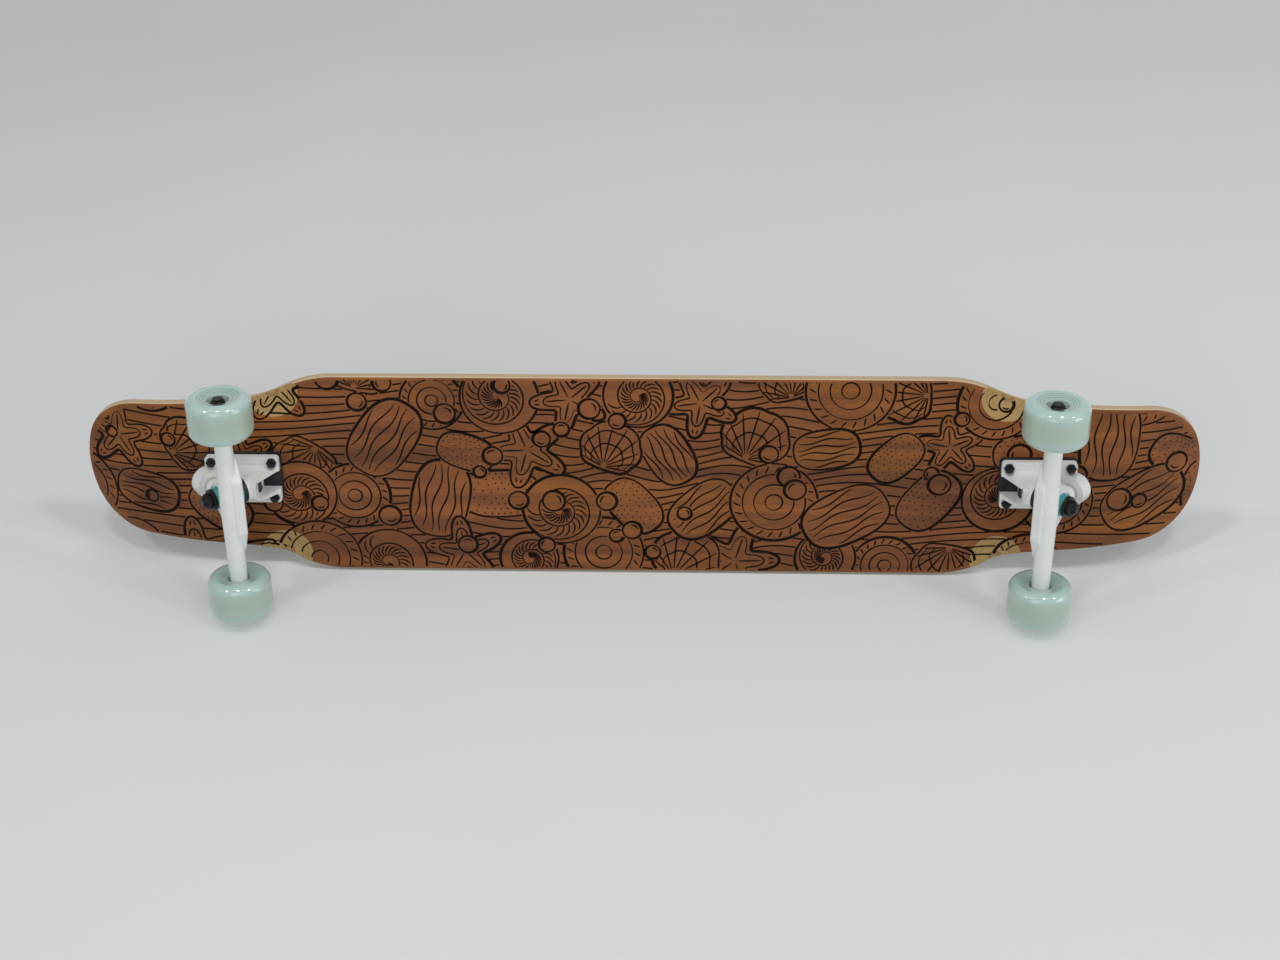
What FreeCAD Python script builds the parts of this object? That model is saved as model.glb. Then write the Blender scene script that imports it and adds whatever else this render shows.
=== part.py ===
import FreeCAD, Part
import os
from math import acos, asin, atan, atan2, cos, hypot, radians, sin, sqrt, tan

# A longboard skateboard: a symmetric deck with two kicked ends on two reverse-kingpin trucks.
# Millimetres. X runs along the board with its front at +X, Y runs across it and Z points up.
# The origin is on the ground, midway between the trucks.

# Deck, seen from above; insets and lengths at an end run from its tip
DECK_LENGTH = 1178.0
PLATFORM_WIDTH = 229.0
NECK_WIDTH = 175.0
NECK_INSET = 176.0
WAIST_LENGTH = 100.0
TAPER_ANGLE = 4.6
CORNER_RADIUS = 66.0
TIP_RADIUS = 104.0

# Deck, seen from the side
CORE_THICKNESS = 10.2
VENEER_THICKNESS = 0.8
GRIP_THICKNESS = 1.0
KICK_LENGTH = 143.0
KICK_RADIUS = 338.0
RAIL_ROUND = 3.5

# Wheel wells, sanded into the underside at the rails, a little inboard of the axles
WELL_DIAMETER = 60.0
WELL_DEPTH = 5.4
WELL_INBOARD = 37.0
WELL_TRACK = 190.0

# Truck mounting
TRUCK_INSET = 174.5
BOLT_LENGTHWISE = 63.5
BOLT_CROSSWISE = 41.28
BOLT_DIAMETER = 4.8
BOLT_HOLE = 5.4
BOLT_HEAD_DIAMETER = 9.4
BOLT_HEAD_HEIGHT = 2.8
BOLT_KEY_FLATS = 3.2
BOLT_KEY_DEPTH = 2.0
BOLT_TIP = 2.2
BOLT_NUT_FLATS = 9.5
BOLT_NUT_HEIGHT = 5.2
RISER_THICKNESS = 6.0
RISER_MARGIN = 1.0

# Steering geometry, from the truck's bolt centre and down from the underside
AXLE_DROP = 70.0
AXLE_OUTSET = 1.0
STEER_ANGLE = 50.0
SEAT_INSET = 4.2
SEAT_DROP = 34.0

# Baseplate
FLANGE_THICKNESS = 6.0
FLANGE_INBOARD = 38.8
FLANGE_OUTBOARD = 38.5
FLANGE_WIDTH = 53.6
FLANGE_CORNER = 4.0
NOTCH_WIDTH = 20.6
TOWER_WIDTH = 19.0
TOWER_FOOT = 34.0
TOWER_HEIGHT = 30.0
TOWER_BACK = 20.0
TOWER_FRONT = 9.0
TOWER_ROUND = 6.0
RAMP_INSET = 1.5
SEAT_DIAMETER = 28.0
SEAT_WALL = 13.0
SEAT_BOSS = 11.0
NUT_ROOM = 1.0
BOSS_DIAMETER = 32.0
BOSS_MOUTH = 29.0
BOSS_END = 3.5
BOSS_ROUND = 4.0

# Pivot
NUB_DIAMETER = 14.0
NUB_ROOT_DIAMETER = 24.0
NUB_ROOT_LENGTH = 7.5
NUB_STEP = 1.5
NUB_REACH = 41.0
CUP_WALL = 2.2

# Kingpin stack
KINGPIN_DIAMETER = 9.5
KINGPIN_TAIL = 1.6
KINGPIN_HEAD_HEIGHT = 6.0
KINGPIN_FLATS = 14.3
KINGPIN_NUT_HEIGHT = 8.0
NUT_COLLAR_HEIGHT = 2.0
HEAD_ROOM = 0.8
BUSHING_DIAMETER = 24.0
BUSHING_BORE = 10.0
BUSHING_SMALL_DIAMETER = 19.0
BOARDSIDE_HEIGHT = 15.0
ROADSIDE_HEIGHT = 12.4
BUSHING_EDGE = 1.0
WASHER_THICKNESS = 2.0
WASHER_LIP_HEIGHT = 1.6
WASHER_LIP = 1.2

# Hanger
HANGER_WIDTH = 180.0
HANGER_TUBE = 17.8
HANGER_SWELL = 21.0
HANGER_EDGE = 1.2
RING_DIAMETER = 33.0
RING_WEB = 6.0
RING_SEAT_DEPTH = 4.0
RING_HOLE = 14.0
RING_EDGE = 1.0
YOKE_SPAN = 106.0
YOKE_REACH = 36.5
YOKE_THICKNESS = 12.0
YOKE_SHIFT = 2.0
YOKE_CORNER = 3.4
YOKE_ROUND = 2.4

# Axle hardware
AXLE_DIAMETER = 8.0
AXLE_LENGTH = 246.0
AXLE_EDGE = 0.8
AXLE_NUT_FLATS = 12.7
AXLE_NUT_HEIGHT = 6.5
AXLE_WASHER_DIAMETER = 11.8
AXLE_WASHER_THICKNESS = 1.0
SPACER_DIAMETER = 11.0
SPACER_LENGTH = 10.0

# Ball bearing
BEARING_DIAMETER = 22.0
BEARING_WIDTH = 7.0
BALL_DIAMETER = 3.97
BALL_COUNT = 7
BALL_PITCH = 15.0
BALL_PLAY = 0.12
INNER_SHOULDER = 12.2
OUTER_SHOULDER = 17.8
SHIELD_THICKNESS = 0.3
SHIELD_INSET = 0.35
SHIELD_SEAT = 0.35
CAGE_RADIAL = 1.5
CAGE_BACK = 2.5
CAGE_FRONT = 0.9

# Wheel
WHEEL_DIAMETER = 66.0
WHEEL_WIDTH = 44.0
WHEEL_LIP_ROUND = 9.0
WHEEL_CREST_ROUND = 6.0
WHEEL_DISH_ANGLE = 18.0
WHEEL_BORE = 23.2
CORE_DIAMETER = 35.0
CORE_WIDTH = 28.0
CORE_STOP = 19.0

# Gaps
FIT = 0.05
RUN = 0.3
OVERRUN = 20.0

# Outline of the hanger's yoke, from the ring to its far edge: along the reach and across half the span
YOKE_SHARES = [(-0.20, 0.31), (0.26, 0.60), (0.54, 1.0), (0.78, 1.0), (1.0, 0.56)]

V = FreeCAD.Vector
UP = V(0, 0, 1)
ACROSS = V(0, 1, 0)
WOOD = VENEER_THICKNESS + CORE_THICKNESS
AXLE_Z = WHEEL_DIAMETER / 2
DECK_BOTTOM = AXLE_Z + AXLE_DROP
NECK_X = DECK_LENGTH / 2 - NECK_INSET
KICK_X = DECK_LENGTH / 2 - KICK_LENGTH
TRUCK_X = DECK_LENGTH / 2 - TRUCK_INSET
AXLE_X = TRUCK_X + AXLE_OUTSET
FLANGE_TOP = RISER_THICKNESS
FLANGE_BOTTOM = RISER_THICKNESS + FLANGE_THICKNESS
STEER = radians(STEER_ANGLE)
PIVOT_WAY = V(cos(STEER), 0, sin(STEER))
KINGPIN_WAY = V(sin(STEER), 0, -cos(STEER))
TILT = FreeCAD.Rotation(ACROSS, 180 - STEER_ANGLE)
HUB_INNER = HANGER_WIDTH / 2 + AXLE_WASHER_THICKNESS
WHEEL_Y = HUB_INNER + BEARING_WIDTH + SPACER_LENGTH / 2
HUB_OUTER = 2 * WHEEL_Y - HUB_INNER
BEARING_OFFSET = (SPACER_LENGTH + BEARING_WIDTH) / 2
WASHER_TOP = WASHER_THICKNESS + BOARDSIDE_HEIGHT
RING_CENTRE = WASHER_TOP + RING_WEB / 2
ROADSIDE_START = WASHER_TOP + RING_WEB
ROADSIDE_END = ROADSIDE_START + ROADSIDE_HEIGHT
NUT_START = ROADSIDE_END + WASHER_THICKNESS
NUT_END = NUT_START + KINGPIN_NUT_HEIGHT


def spot(outward, below, across=0.0):
    """A point of the front truck, from its bolt centre and the deck's underside."""
    return V(TRUCK_X + outward, across, DECK_BOTTOM - below)


SEAT = spot(-SEAT_INSET, SEAT_DROP)
RING = SEAT + KINGPIN_WAY * RING_CENTRE


def face_from(curves):
    """A flat face inside a closed outline of lines and arcs."""
    return Part.Face(Part.Wire(Part.__sortEdges__([curve.toShape() for curve in curves])))


def line_or_arc(points):
    """A straight line through two points, or an arc through three."""
    return Part.Arc(*points) if len(points) == 3 else Part.LineSegment(*points)


def polygon(corners):
    """A flat face with straight sides."""
    return Part.Face(Part.makePolygon(corners + corners[:1]))


def flat_edges(shape):
    """The edges that lie level, before the shape is tilted or laid on its axle."""
    return [edge for edge in shape.Edges if edge.BoundBox.ZLength < FIT]


def upright_edges(shape):
    """The edges that don't lie level."""
    return [edge for edge in shape.Edges if edge.BoundBox.ZLength > FIT]


def tube(outer, inner, length, start):
    """A round tube along +Z from a start height; an inner diameter of zero makes a rod."""
    body = Part.makeCylinder(outer / 2, length, V(0, 0, start))
    if inner == 0:
        return body
    return body.cut(Part.makeCylinder(inner / 2, length, V(0, 0, start)))


def hexagon(flats, height, start):
    """A hexagonal prism along +Z."""
    radius = flats / sqrt(3)
    turns = [radians(60 * i) for i in range(6)]
    return polygon([V(radius * cos(turn), radius * sin(turn), start) for turn in turns]).extrude(UP * height)


def nut(flats, height, collar, bore, start):
    """A hexagon nut with chamfered corners and a round collar that holds its locking ring."""
    body = hexagon(flats, height - collar, start)
    rim = flats / sqrt(3) - flats / 2
    limit = Part.makeCylinder(flats / 2 + rim, height - collar, V(0, 0, start))
    limit = limit.makeChamfer(rim, limit.Edges)
    body = body.common(limit)
    if collar > 0:
        cap = Part.makeCylinder((flats - collar) / 2, collar, V(0, 0, start + height - collar))
        body = body.fuse(cap)
    return body.cut(Part.makeCylinder(bore / 2, height, V(0, 0, start)))


def tilted(shape, origin):
    """A shape made along +Z, laid along the kingpin with its X towards the ground."""
    shape.Placement = FreeCAD.Placement(origin, TILT) * shape.Placement
    return shape


def on_axle(shape, y):
    """A shape made along +Z, laid along the front axle with its start at y."""
    way = FreeCAD.Rotation(V(1, 0, 0), -90)
    shape.Placement = FreeCAD.Placement(V(AXLE_X, y, AXLE_Z), way) * shape.Placement
    return shape


def half_turned(shape):
    """A copy turned half round about the board's middle."""
    turned = shape.copy()
    turned.rotate(V(), UP, 180)
    return turned


def other_side(shape):
    """A copy turned half round about the front truck's middle."""
    turned = shape.copy()
    turned.rotate(V(AXLE_X, 0, 0), UP, 180)
    return turned


def bolt_spots():
    """The four bolt places of the front truck, as distances outward and across."""
    places = []
    for outward in (-BOLT_LENGTHWISE / 2, BOLT_LENGTHWISE / 2):
        for across in (-BOLT_CROSSWISE / 2, BOLT_CROSSWISE / 2):
            places.append((outward, across))
    return places


def bolt_holes():
    """Cutters for the front truck's bolt holes, through deck, riser and flange."""
    length = WOOD + GRIP_THICKNESS + FLANGE_BOTTOM + 2 * OVERRUN
    rods = []
    for outward, across in bolt_spots():
        rods.append(Part.makeCylinder(BOLT_HOLE / 2, length, spot(outward, FLANGE_BOTTOM + OVERRUN, across)))
    return Part.makeCompound(rods)


def deck_outline():
    """The deck's outline: straight rails, an S of two arcs to the neck, a taper, a corner and a tip."""
    taper = radians(TAPER_ANGLE)
    start = V(NECK_X - WAIST_LENGTH, PLATFORM_WIDTH / 2, 0)
    neck = V(NECK_X, NECK_WIDTH / 2, 0)
    fall = (start.y - neck.y) / (neck.x - start.x)
    turn = atan(fall) + acos((1 + cos(taper) + fall * sin(taper)) / (2 * sqrt(1 + fall ** 2)))
    bend = (neck.x - start.x) / (2 * sin(turn) - sin(taper))
    first = start - V(0, bend, 0)
    second = first + V(sin(turn), cos(turn), 0) * 2 * bend
    middle = (turn + taper) / 2
    tip = V(DECK_LENGTH / 2 - TIP_RADIUS, 0, 0)
    along = V(cos(taper), -sin(taper), 0)
    inward = V(-sin(taper), -cos(taper), 0)
    offset = neck + inward * CORNER_RADIUS - tip
    spread = offset.dot(along)
    run = sqrt(spread ** 2 - offset.dot(offset) + (TIP_RADIUS - CORNER_RADIUS) ** 2) - spread
    corner = neck + inward * CORNER_RADIUS + along * run
    heading = atan2(corner.y - tip.y, corner.x - tip.x)
    half_way = (heading + radians(90) - taper) / 2
    rail = [
        (start, first + V(sin(turn / 2), cos(turn / 2), 0) * bend, first + V(sin(turn), cos(turn), 0) * bend),
        (first + V(sin(turn), cos(turn), 0) * bend, second - V(sin(middle), cos(middle), 0) * bend, neck),
        (neck, neck + along * run),
        (neck + along * run, corner + V(cos(half_way), sin(half_way), 0) * CORNER_RADIUS,
         tip + V(cos(heading), sin(heading), 0) * TIP_RADIUS),
    ]
    shoulder = rail[-1][-1]
    curves = []
    for end in (-1, 1):
        for side in (-1, 1):
            for points in rail:
                curves.append(line_or_arc([V(end * point.x, side * point.y, 0) for point in points]))
        curves.append(Part.Arc(V(end * shoulder.x, shoulder.y, 0), V(end * DECK_LENGTH / 2, 0, 0),
                               V(end * shoulder.x, -shoulder.y, 0)))
    for side in (-1, 1):
        curves.append(Part.LineSegment(V(-start.x, side * start.y, 0), V(start.x, side * start.y, 0)))
    return face_from(curves)


def side_layer(low, high):
    """A wide sheet between two heights above the underside: flat, then curved up at both ends."""
    half_width = PLATFORM_WIDTH / 2 + OVERRUN
    centre = DECK_BOTTOM + KICK_RADIUS
    sweep = asin((KICK_LENGTH + OVERRUN) / (KICK_RADIUS - high))

    def place(end, height, angle):
        radius = KICK_RADIUS - height
        return V(end * (KICK_X + radius * sin(angle)), -half_width, centre - radius * cos(angle))

    curves = []
    for height in (low, high):
        curves.append(Part.LineSegment(place(-1, height, 0), place(1, height, 0)))
        for end in (-1, 1):
            curves.append(Part.Arc(*[place(end, height, sweep * share) for share in (0, 1 / 2, 1)]))
    for end in (-1, 1):
        curves.append(Part.LineSegment(place(end, low, sweep), place(end, high, sweep)))
    return face_from(curves).extrude(ACROSS * 2 * half_width)


def height_above_underside(point):
    """How far a point lies above the deck's underside, square to it."""
    if abs(point.x) <= KICK_X:
        return point.z - DECK_BOTTOM
    return KICK_RADIUS - hypot(abs(point.x) - KICK_X, DECK_BOTTOM + KICK_RADIUS - point.z)


def standing(face):
    """A tall prism over a flat outline, past the deck's top and bottom."""
    prism = face.extrude(UP * (KICK_RADIUS + 2 * OVERRUN))
    prism.translate(UP * (DECK_BOTTOM - OVERRUN))
    return prism


def rail_edges(blank):
    """The edges where the deck's rail meets its top and its underside."""
    chosen = []
    for edge in blank.Edges:
        middle = edge.valueAt((edge.FirstParameter + edge.LastParameter) / 2)
        height = height_above_underside(middle)
        crosses = edge.BoundBox.XLength < FIT and edge.BoundBox.YLength > RAIL_ROUND
        if min(abs(height), abs(height - WOOD)) < FIT and not crosses:
            chosen.append(edge)
    return chosen


def wells():
    """Cutters for the four wheel wells: large balls that dip into the underside."""
    radius = ((WELL_DIAMETER / 2) ** 2 + WELL_DEPTH ** 2) / (2 * WELL_DEPTH)
    balls = []
    for end in (-1, 1):
        for side in (-1, 1):
            place = V(end * (AXLE_X - WELL_INBOARD), side * WELL_TRACK / 2, DECK_BOTTOM + WELL_DEPTH)
            balls.append(Part.makeSphere(radius, place - UP * radius))
    return balls


def bolt_head(gap):
    """A countersunk head at the top of the deck, along +Z down to its point, grown by a gap."""
    wide = BOLT_HEAD_DIAMETER / 2 + gap
    narrow = BOLT_DIAMETER / 2 + gap
    return Part.makeCone(narrow, wide, BOLT_HEAD_HEIGHT, V(0, 0, -BOLT_HEAD_HEIGHT))


def countersinks(gap):
    """The front truck's four bolt heads, flush with the grip."""
    heads = []
    for outward, across in bolt_spots():
        head = bolt_head(gap)
        head.translate(spot(outward, -WOOD - GRIP_THICKNESS, across))
        heads.append(head)
    return Part.makeCompound(heads)


def deck_pieces():
    """The wooden core, the stained veneer under it and the grip tape on top."""
    outline = deck_outline()
    blank = side_layer(0, WOOD).common(standing(outline))
    blank = blank.makeFillet(RAIL_ROUND, rail_edges(blank))
    for well in wells():
        blank = blank.cut(well)
    holes = Part.makeCompound([bolt_holes(), half_turned(bolt_holes())])
    heads = Part.makeCompound([countersinks(FIT), half_turned(countersinks(FIT))])
    skin = side_layer(-OVERRUN, VENEER_THICKNESS)
    veneer = blank.common(skin).cut(holes)
    core = blank.cut(skin).cut(holes).cut(heads)
    grip = side_layer(WOOD, WOOD + GRIP_THICKNESS).common(standing(outline.makeOffset2D(-RAIL_ROUND)))
    return {"deck_core": core, "bottom_veneer": veneer, "grip_tape": grip.cut(holes).cut(heads)}


def mounting_bolts():
    """The front truck's four countersunk socket bolts, from the grip to past their nuts."""
    bolts = []
    length = WOOD + GRIP_THICKNESS + FLANGE_BOTTOM + BOLT_NUT_HEIGHT + BOLT_TIP
    for outward, across in bolt_spots():
        shank = Part.makeCylinder(BOLT_DIAMETER / 2, length, V(0, 0, -length))
        key = hexagon(BOLT_KEY_FLATS, BOLT_KEY_DEPTH, -BOLT_KEY_DEPTH)
        bolt = shank.fuse(bolt_head(0)).cut(key)
        bolt.translate(spot(outward, -WOOD - GRIP_THICKNESS, across))
        bolts.append(bolt)
    return Part.makeCompound(bolts)


def mounting_nuts():
    """The front truck's four locknuts, under the baseplate's flange with their collars down."""
    nuts = []
    for outward, across in bolt_spots():
        piece = nut(BOLT_NUT_FLATS, BOLT_NUT_HEIGHT, NUT_COLLAR_HEIGHT, BOLT_DIAMETER + 2 * FIT, 0)
        piece.rotate(V(), V(1, 0, 0), 180)
        piece.translate(spot(outward, FLANGE_BOTTOM, across))
        nuts.append(piece)
    return Part.makeCompound(nuts)


def rounded_slab(inboard, outboard, width, corner, top, bottom):
    """A flat plate with round corners between two depths below the deck."""
    slab = Part.makeBox(inboard + outboard, width, bottom - top, spot(-inboard, bottom, -width / 2))
    return slab.makeFillet(corner, upright_edges(slab))


def riser_pad():
    """The pad between the deck and the baseplate, a little larger than the flange."""
    pad = rounded_slab(FLANGE_INBOARD + RISER_MARGIN, FLANGE_OUTBOARD + RISER_MARGIN,
                       FLANGE_WIDTH + RISER_MARGIN, FLANGE_CORNER, 0, RISER_THICKNESS)
    return pad.cut(bolt_holes())


def side_plate(points, width, centre):
    """A plate with a side outline of (outward, below) points, square to the axle."""
    corners = [spot(outward, below, centre - width / 2) for outward, below in points]
    return polygon(corners).extrude(ACROSS * width)


def side_point(point):
    """A point's distances outward of the bolt centre and below the deck."""
    return (point.x - TRUCK_X, DECK_BOTTOM - point.z)


def tower_ridge():
    """A long rounded ridge over the tower, broad at the flange and narrow at its low edge."""
    low = FLANGE_BOTTOM + TOWER_HEIGHT
    start = -FLANGE_INBOARD - OVERRUN
    corners = [spot(start, FLANGE_BOTTOM, -TOWER_FOOT / 2), spot(start, low, -TOWER_WIDTH / 2),
               spot(start, low, TOWER_WIDTH / 2), spot(start, FLANGE_BOTTOM, TOWER_FOOT / 2)]
    ridge = polygon(corners).extrude(V(FLANGE_INBOARD + TOWER_FRONT + 2 * OVERRUN, 0, 0))
    low_edges = [edge for edge in ridge.Edges
                 if edge.BoundBox.YLength < FIT and edge.BoundBox.ZMax < DECK_BOTTOM - low + FIT]
    return ridge.makeFillet(TOWER_ROUND, low_edges)


def tower():
    """The tower: a ridge with a ramp from the inboard ears and a slanted end with a round seat."""
    seat_low = SEAT - PIVOT_WAY * (SEAT_DIAMETER / 2)
    seat_high = SEAT + PIVOT_WAY * (SEAT_DIAMETER / 2)
    low = FLANGE_BOTTOM + TOWER_HEIGHT
    points = [(RAMP_INSET - FLANGE_INBOARD, FLANGE_BOTTOM), (-TOWER_BACK, low), side_point(seat_low),
              side_point(seat_high), (TOWER_FRONT, FLANGE_BOTTOM)]
    block = side_plate(points, TOWER_FOOT, 0).common(tower_ridge())
    return block.fuse(tilted(tube(SEAT_DIAMETER, 0, SEAT_BOSS, -SEAT_BOSS), SEAT))


def notch():
    """A cutter for the open notch between the inboard ears, up to the tower's back."""
    length = FLANGE_INBOARD - TOWER_BACK + OVERRUN
    depth = FLANGE_BOTTOM + TOWER_HEIGHT + OVERRUN
    return Part.makeBox(length, NOTCH_WIDTH, depth, spot(-TOWER_BACK - length, depth, -NOTCH_WIDTH / 2))


def pivot_rod(diameter, start, length):
    """A rod on the steering axis, from a distance outboard of the ring's centre."""
    return Part.makeCylinder(diameter / 2, length, RING + PIVOT_WAY * start, PIVOT_WAY)


def cup_length():
    """The pivot cup's length, from the boss's mouth to its closed end."""
    return NUB_REACH + RUN + CUP_WALL - BOSS_MOUTH


def pivot_boss():
    """The round boss that holds the pivot cup, cut level with the flange's deck side."""
    length = cup_length() + BOSS_END
    boss = pivot_rod(BOSS_DIAMETER, BOSS_MOUTH, length)
    far_end = RING + PIVOT_WAY * (BOSS_MOUTH + length)
    far_edge = [edge for edge in boss.Edges if (edge.CenterOfMass - far_end).Length < FIT]
    boss = boss.makeFillet(BOSS_ROUND, far_edge)
    size = 2 * (NUB_REACH + BOSS_DIAMETER)
    deck_side = Part.makeBox(size, size, size, spot(-size / 2, FLANGE_TOP, -size / 2))
    return boss.cut(deck_side)


def nut_rooms():
    """Cutters that clear the castings round the mounting nuts."""
    radius = BOLT_NUT_FLATS / sqrt(3) + NUT_ROOM
    return [Part.makeCylinder(radius, OVERRUN, spot(outward, FLANGE_BOTTOM + OVERRUN, across))
            for outward, across in bolt_spots()]


def baseplate():
    """The cast plate that is bolted under the deck, with the pivot boss outboard and the tower inboard."""
    plate = rounded_slab(FLANGE_INBOARD, FLANGE_OUTBOARD, FLANGE_WIDTH, FLANGE_CORNER,
                         FLANGE_TOP, FLANGE_BOTTOM)
    plate = plate.fuse([pivot_boss(), tower()]).removeSplitter()
    bore = KINGPIN_DIAMETER + 2 * FIT
    pocket = KINGPIN_FLATS * 2 / sqrt(3) + 2 * HEAD_ROOM
    drill = tilted(tube(bore, 0, SEAT_WALL + OVERRUN, -SEAT_WALL - OVERRUN / 2), SEAT)
    slot = tilted(tube(pocket, 0, FLANGE_INBOARD + OVERRUN, -SEAT_WALL - FLANGE_INBOARD - OVERRUN), SEAT)
    cup_bore = pivot_rod(NUB_DIAMETER + 2 * (RUN + CUP_WALL + FIT), BOSS_MOUTH - OVERRUN / 2,
                         cup_length() + OVERRUN / 2)
    return plate.cut([bolt_holes(), notch(), drill, slot, cup_bore] + nut_rooms())


def nub_end():
    """The distance from the ring's centre to the middle of the nub's round end."""
    return NUB_REACH - NUB_DIAMETER / 2


def pivot_cup():
    """The thin plastic cup that lines the pivot boss."""
    inner = NUB_DIAMETER + 2 * RUN
    cup = pivot_rod(inner + 2 * CUP_WALL, BOSS_MOUTH, cup_length())
    hollow = pivot_rod(inner, BOSS_MOUTH - OVERRUN / 2, nub_end() - BOSS_MOUTH + OVERRUN / 2)
    dome = Part.makeSphere(inner / 2, RING + PIVOT_WAY * nub_end())
    return cup.cut([hollow, dome])


def kingpin():
    """The kingpin bolt, its head in the tower and its thread out of the nut."""
    head = hexagon(KINGPIN_FLATS, KINGPIN_HEAD_HEIGHT, -SEAT_WALL - KINGPIN_HEAD_HEIGHT)
    shank = tube(KINGPIN_DIAMETER, 0, SEAT_WALL + NUT_END + KINGPIN_TAIL, -SEAT_WALL)
    rim = [edge for edge in shank.Edges if edge.BoundBox.ZMin > NUT_END]
    return tilted(head.fuse(shank.makeChamfer(KINGPIN_TAIL / 2, rim)), SEAT)


def kingpin_nut():
    """The locknut that sets the bushings' squeeze."""
    bore = KINGPIN_DIAMETER + 2 * FIT
    return tilted(nut(KINGPIN_FLATS, KINGPIN_NUT_HEIGHT, NUT_COLLAR_HEIGHT, bore, NUT_START), SEAT)


def roadside_diameter(from_small_end):
    """The roadside bushing's diameter at a distance from its small end."""
    growth = (BUSHING_DIAMETER - BUSHING_SMALL_DIAMETER) / ROADSIDE_HEIGHT
    return BUSHING_SMALL_DIAMETER + growth * from_small_end


def boardside_bushing():
    """The barrel bushing between the tower and the hanger's ring."""
    barrel = tube(BUSHING_DIAMETER, 0, BOARDSIDE_HEIGHT, WASHER_THICKNESS)
    barrel = barrel.makeChamfer(BUSHING_EDGE, flat_edges(barrel))
    bore = tube(BUSHING_BORE, 0, WASHER_TOP, 0)
    return tilted(barrel.cut(bore), SEAT)


def roadside_bushing():
    """The cone bushing between the hanger's ring and the nut's washer."""
    cone = Part.makeCone(BUSHING_DIAMETER / 2, BUSHING_SMALL_DIAMETER / 2, ROADSIDE_HEIGHT,
                         V(0, 0, ROADSIDE_START))
    bore = tube(BUSHING_BORE, 0, ROADSIDE_HEIGHT, ROADSIDE_START)
    return tilted(cone.cut(bore), SEAT)


def cup_washer(bushing):
    """A washer with a low lip round a bushing's end, its back at zero."""
    hold = bushing + 2 * RUN
    dish = tube(hold + 2 * WASHER_LIP, 0, WASHER_THICKNESS + WASHER_LIP_HEIGHT, 0)
    hollow = tube(hold, 0, WASHER_LIP_HEIGHT, WASHER_THICKNESS)
    return dish.cut([hollow, tube(KINGPIN_DIAMETER + 4 * FIT, 0, WASHER_THICKNESS, 0)])


def boardside_washer():
    """The cup washer on the tower's seat."""
    return tilted(cup_washer(BUSHING_DIAMETER), SEAT)


def roadside_washer():
    """The cup washer under the kingpin nut."""
    washer = cup_washer(roadside_diameter(WASHER_LIP_HEIGHT))
    washer.rotate(V(), V(1, 0, 0), 180)
    washer.translate(UP * NUT_START)
    return tilted(washer, SEAT)


def yoke():
    """The cast plate that spreads from the ring to the axle tube and ends in a low keel."""
    half = [V(reach * YOKE_REACH, span * YOKE_SPAN / 2, 0) for reach, span in YOKE_SHARES]
    mirrored = [V(point.x, -point.y, 0) for point in reversed(half)]
    plate = polygon(half + mirrored).extrude(UP * YOKE_THICKNESS)
    plate = plate.makeFillet(YOKE_CORNER, upright_edges(plate))
    plate = plate.makeFillet(YOKE_ROUND, flat_edges(plate))
    plate.translate(UP * (YOKE_SHIFT - YOKE_THICKNESS / 2))
    return plate


def pivot_nub():
    """The hanger's pivot: a stepped root, a taper, and a stem with a round end, out along -X."""
    root = NUB_ROOT_DIAMETER / 2
    stem = NUB_DIAMETER / 2
    start = BUSHING_DIAMETER / 2 + RUN
    step = start + NUB_ROOT_LENGTH
    slant = sqrt(2) / 2
    points = [(0, start), (root, start), (root, step), (root - NUB_STEP, step), (stem, BOSS_MOUTH),
              (stem, nub_end())]
    corners = [V(radius, 0, height) for radius, height in points]
    curves = [Part.LineSegment(near, far) for near, far in zip(corners, corners[1:])]
    tip = V(0, 0, NUB_REACH)
    curves.append(Part.Arc(corners[-1], V(stem * slant, 0, nub_end() + stem * slant), tip))
    curves.append(Part.LineSegment(tip, corners[0]))
    nub = face_from(curves).revolve(V(), UP, 360)
    nub.rotate(V(), ACROSS, -90)
    return nub


def half_barrel():
    """One half of the axle tube, which tapers from the middle of the hanger to its chamfered end."""
    barrel = Part.makeCone(HANGER_SWELL / 2, HANGER_TUBE / 2, HANGER_WIDTH / 2)
    end = [edge for edge in flat_edges(barrel) if edge.BoundBox.ZMin > FIT]
    return barrel.makeChamfer(HANGER_EDGE, end)


def hanger():
    """The cast hanger: ring for the bushings, pivot nub, yoke and axle tube."""
    depth = RING_WEB / 2 + RING_SEAT_DEPTH
    ring = tube(RING_DIAMETER, 0, 2 * depth, -depth)
    ring = ring.makeChamfer(RING_EDGE, flat_edges(ring))
    body = tilted(ring.fuse([yoke(), pivot_nub()]), RING)
    body = body.fuse([on_axle(half_barrel(), 0), other_side(on_axle(half_barrel(), 0))]).removeSplitter()
    seats = BUSHING_DIAMETER + 2 * RUN
    cutters = [tilted(tube(seats, 0, OVERRUN, RING_WEB / 2), RING),
               tilted(tube(seats, 0, OVERRUN, -RING_WEB / 2 - OVERRUN), RING),
               tilted(tube(RING_HOLE, 0, RING_WEB + OVERRUN, -(RING_WEB + OVERRUN) / 2), RING),
               on_axle(tube(AXLE_DIAMETER + 2 * FIT, 0, AXLE_LENGTH, 0), -AXLE_LENGTH / 2)]
    return body.cut(cutters)


def axle():
    """The steel axle through the hanger, its ends chamfered."""
    rod = tube(AXLE_DIAMETER, 0, AXLE_LENGTH, 0)
    rod = rod.makeChamfer(AXLE_EDGE, flat_edges(rod))
    return on_axle(rod, -AXLE_LENGTH / 2)


def both_sides(pieces):
    """One group of like pieces at both ends of the front axle."""
    return Part.makeCompound(pieces + [other_side(piece) for piece in pieces])


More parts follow.
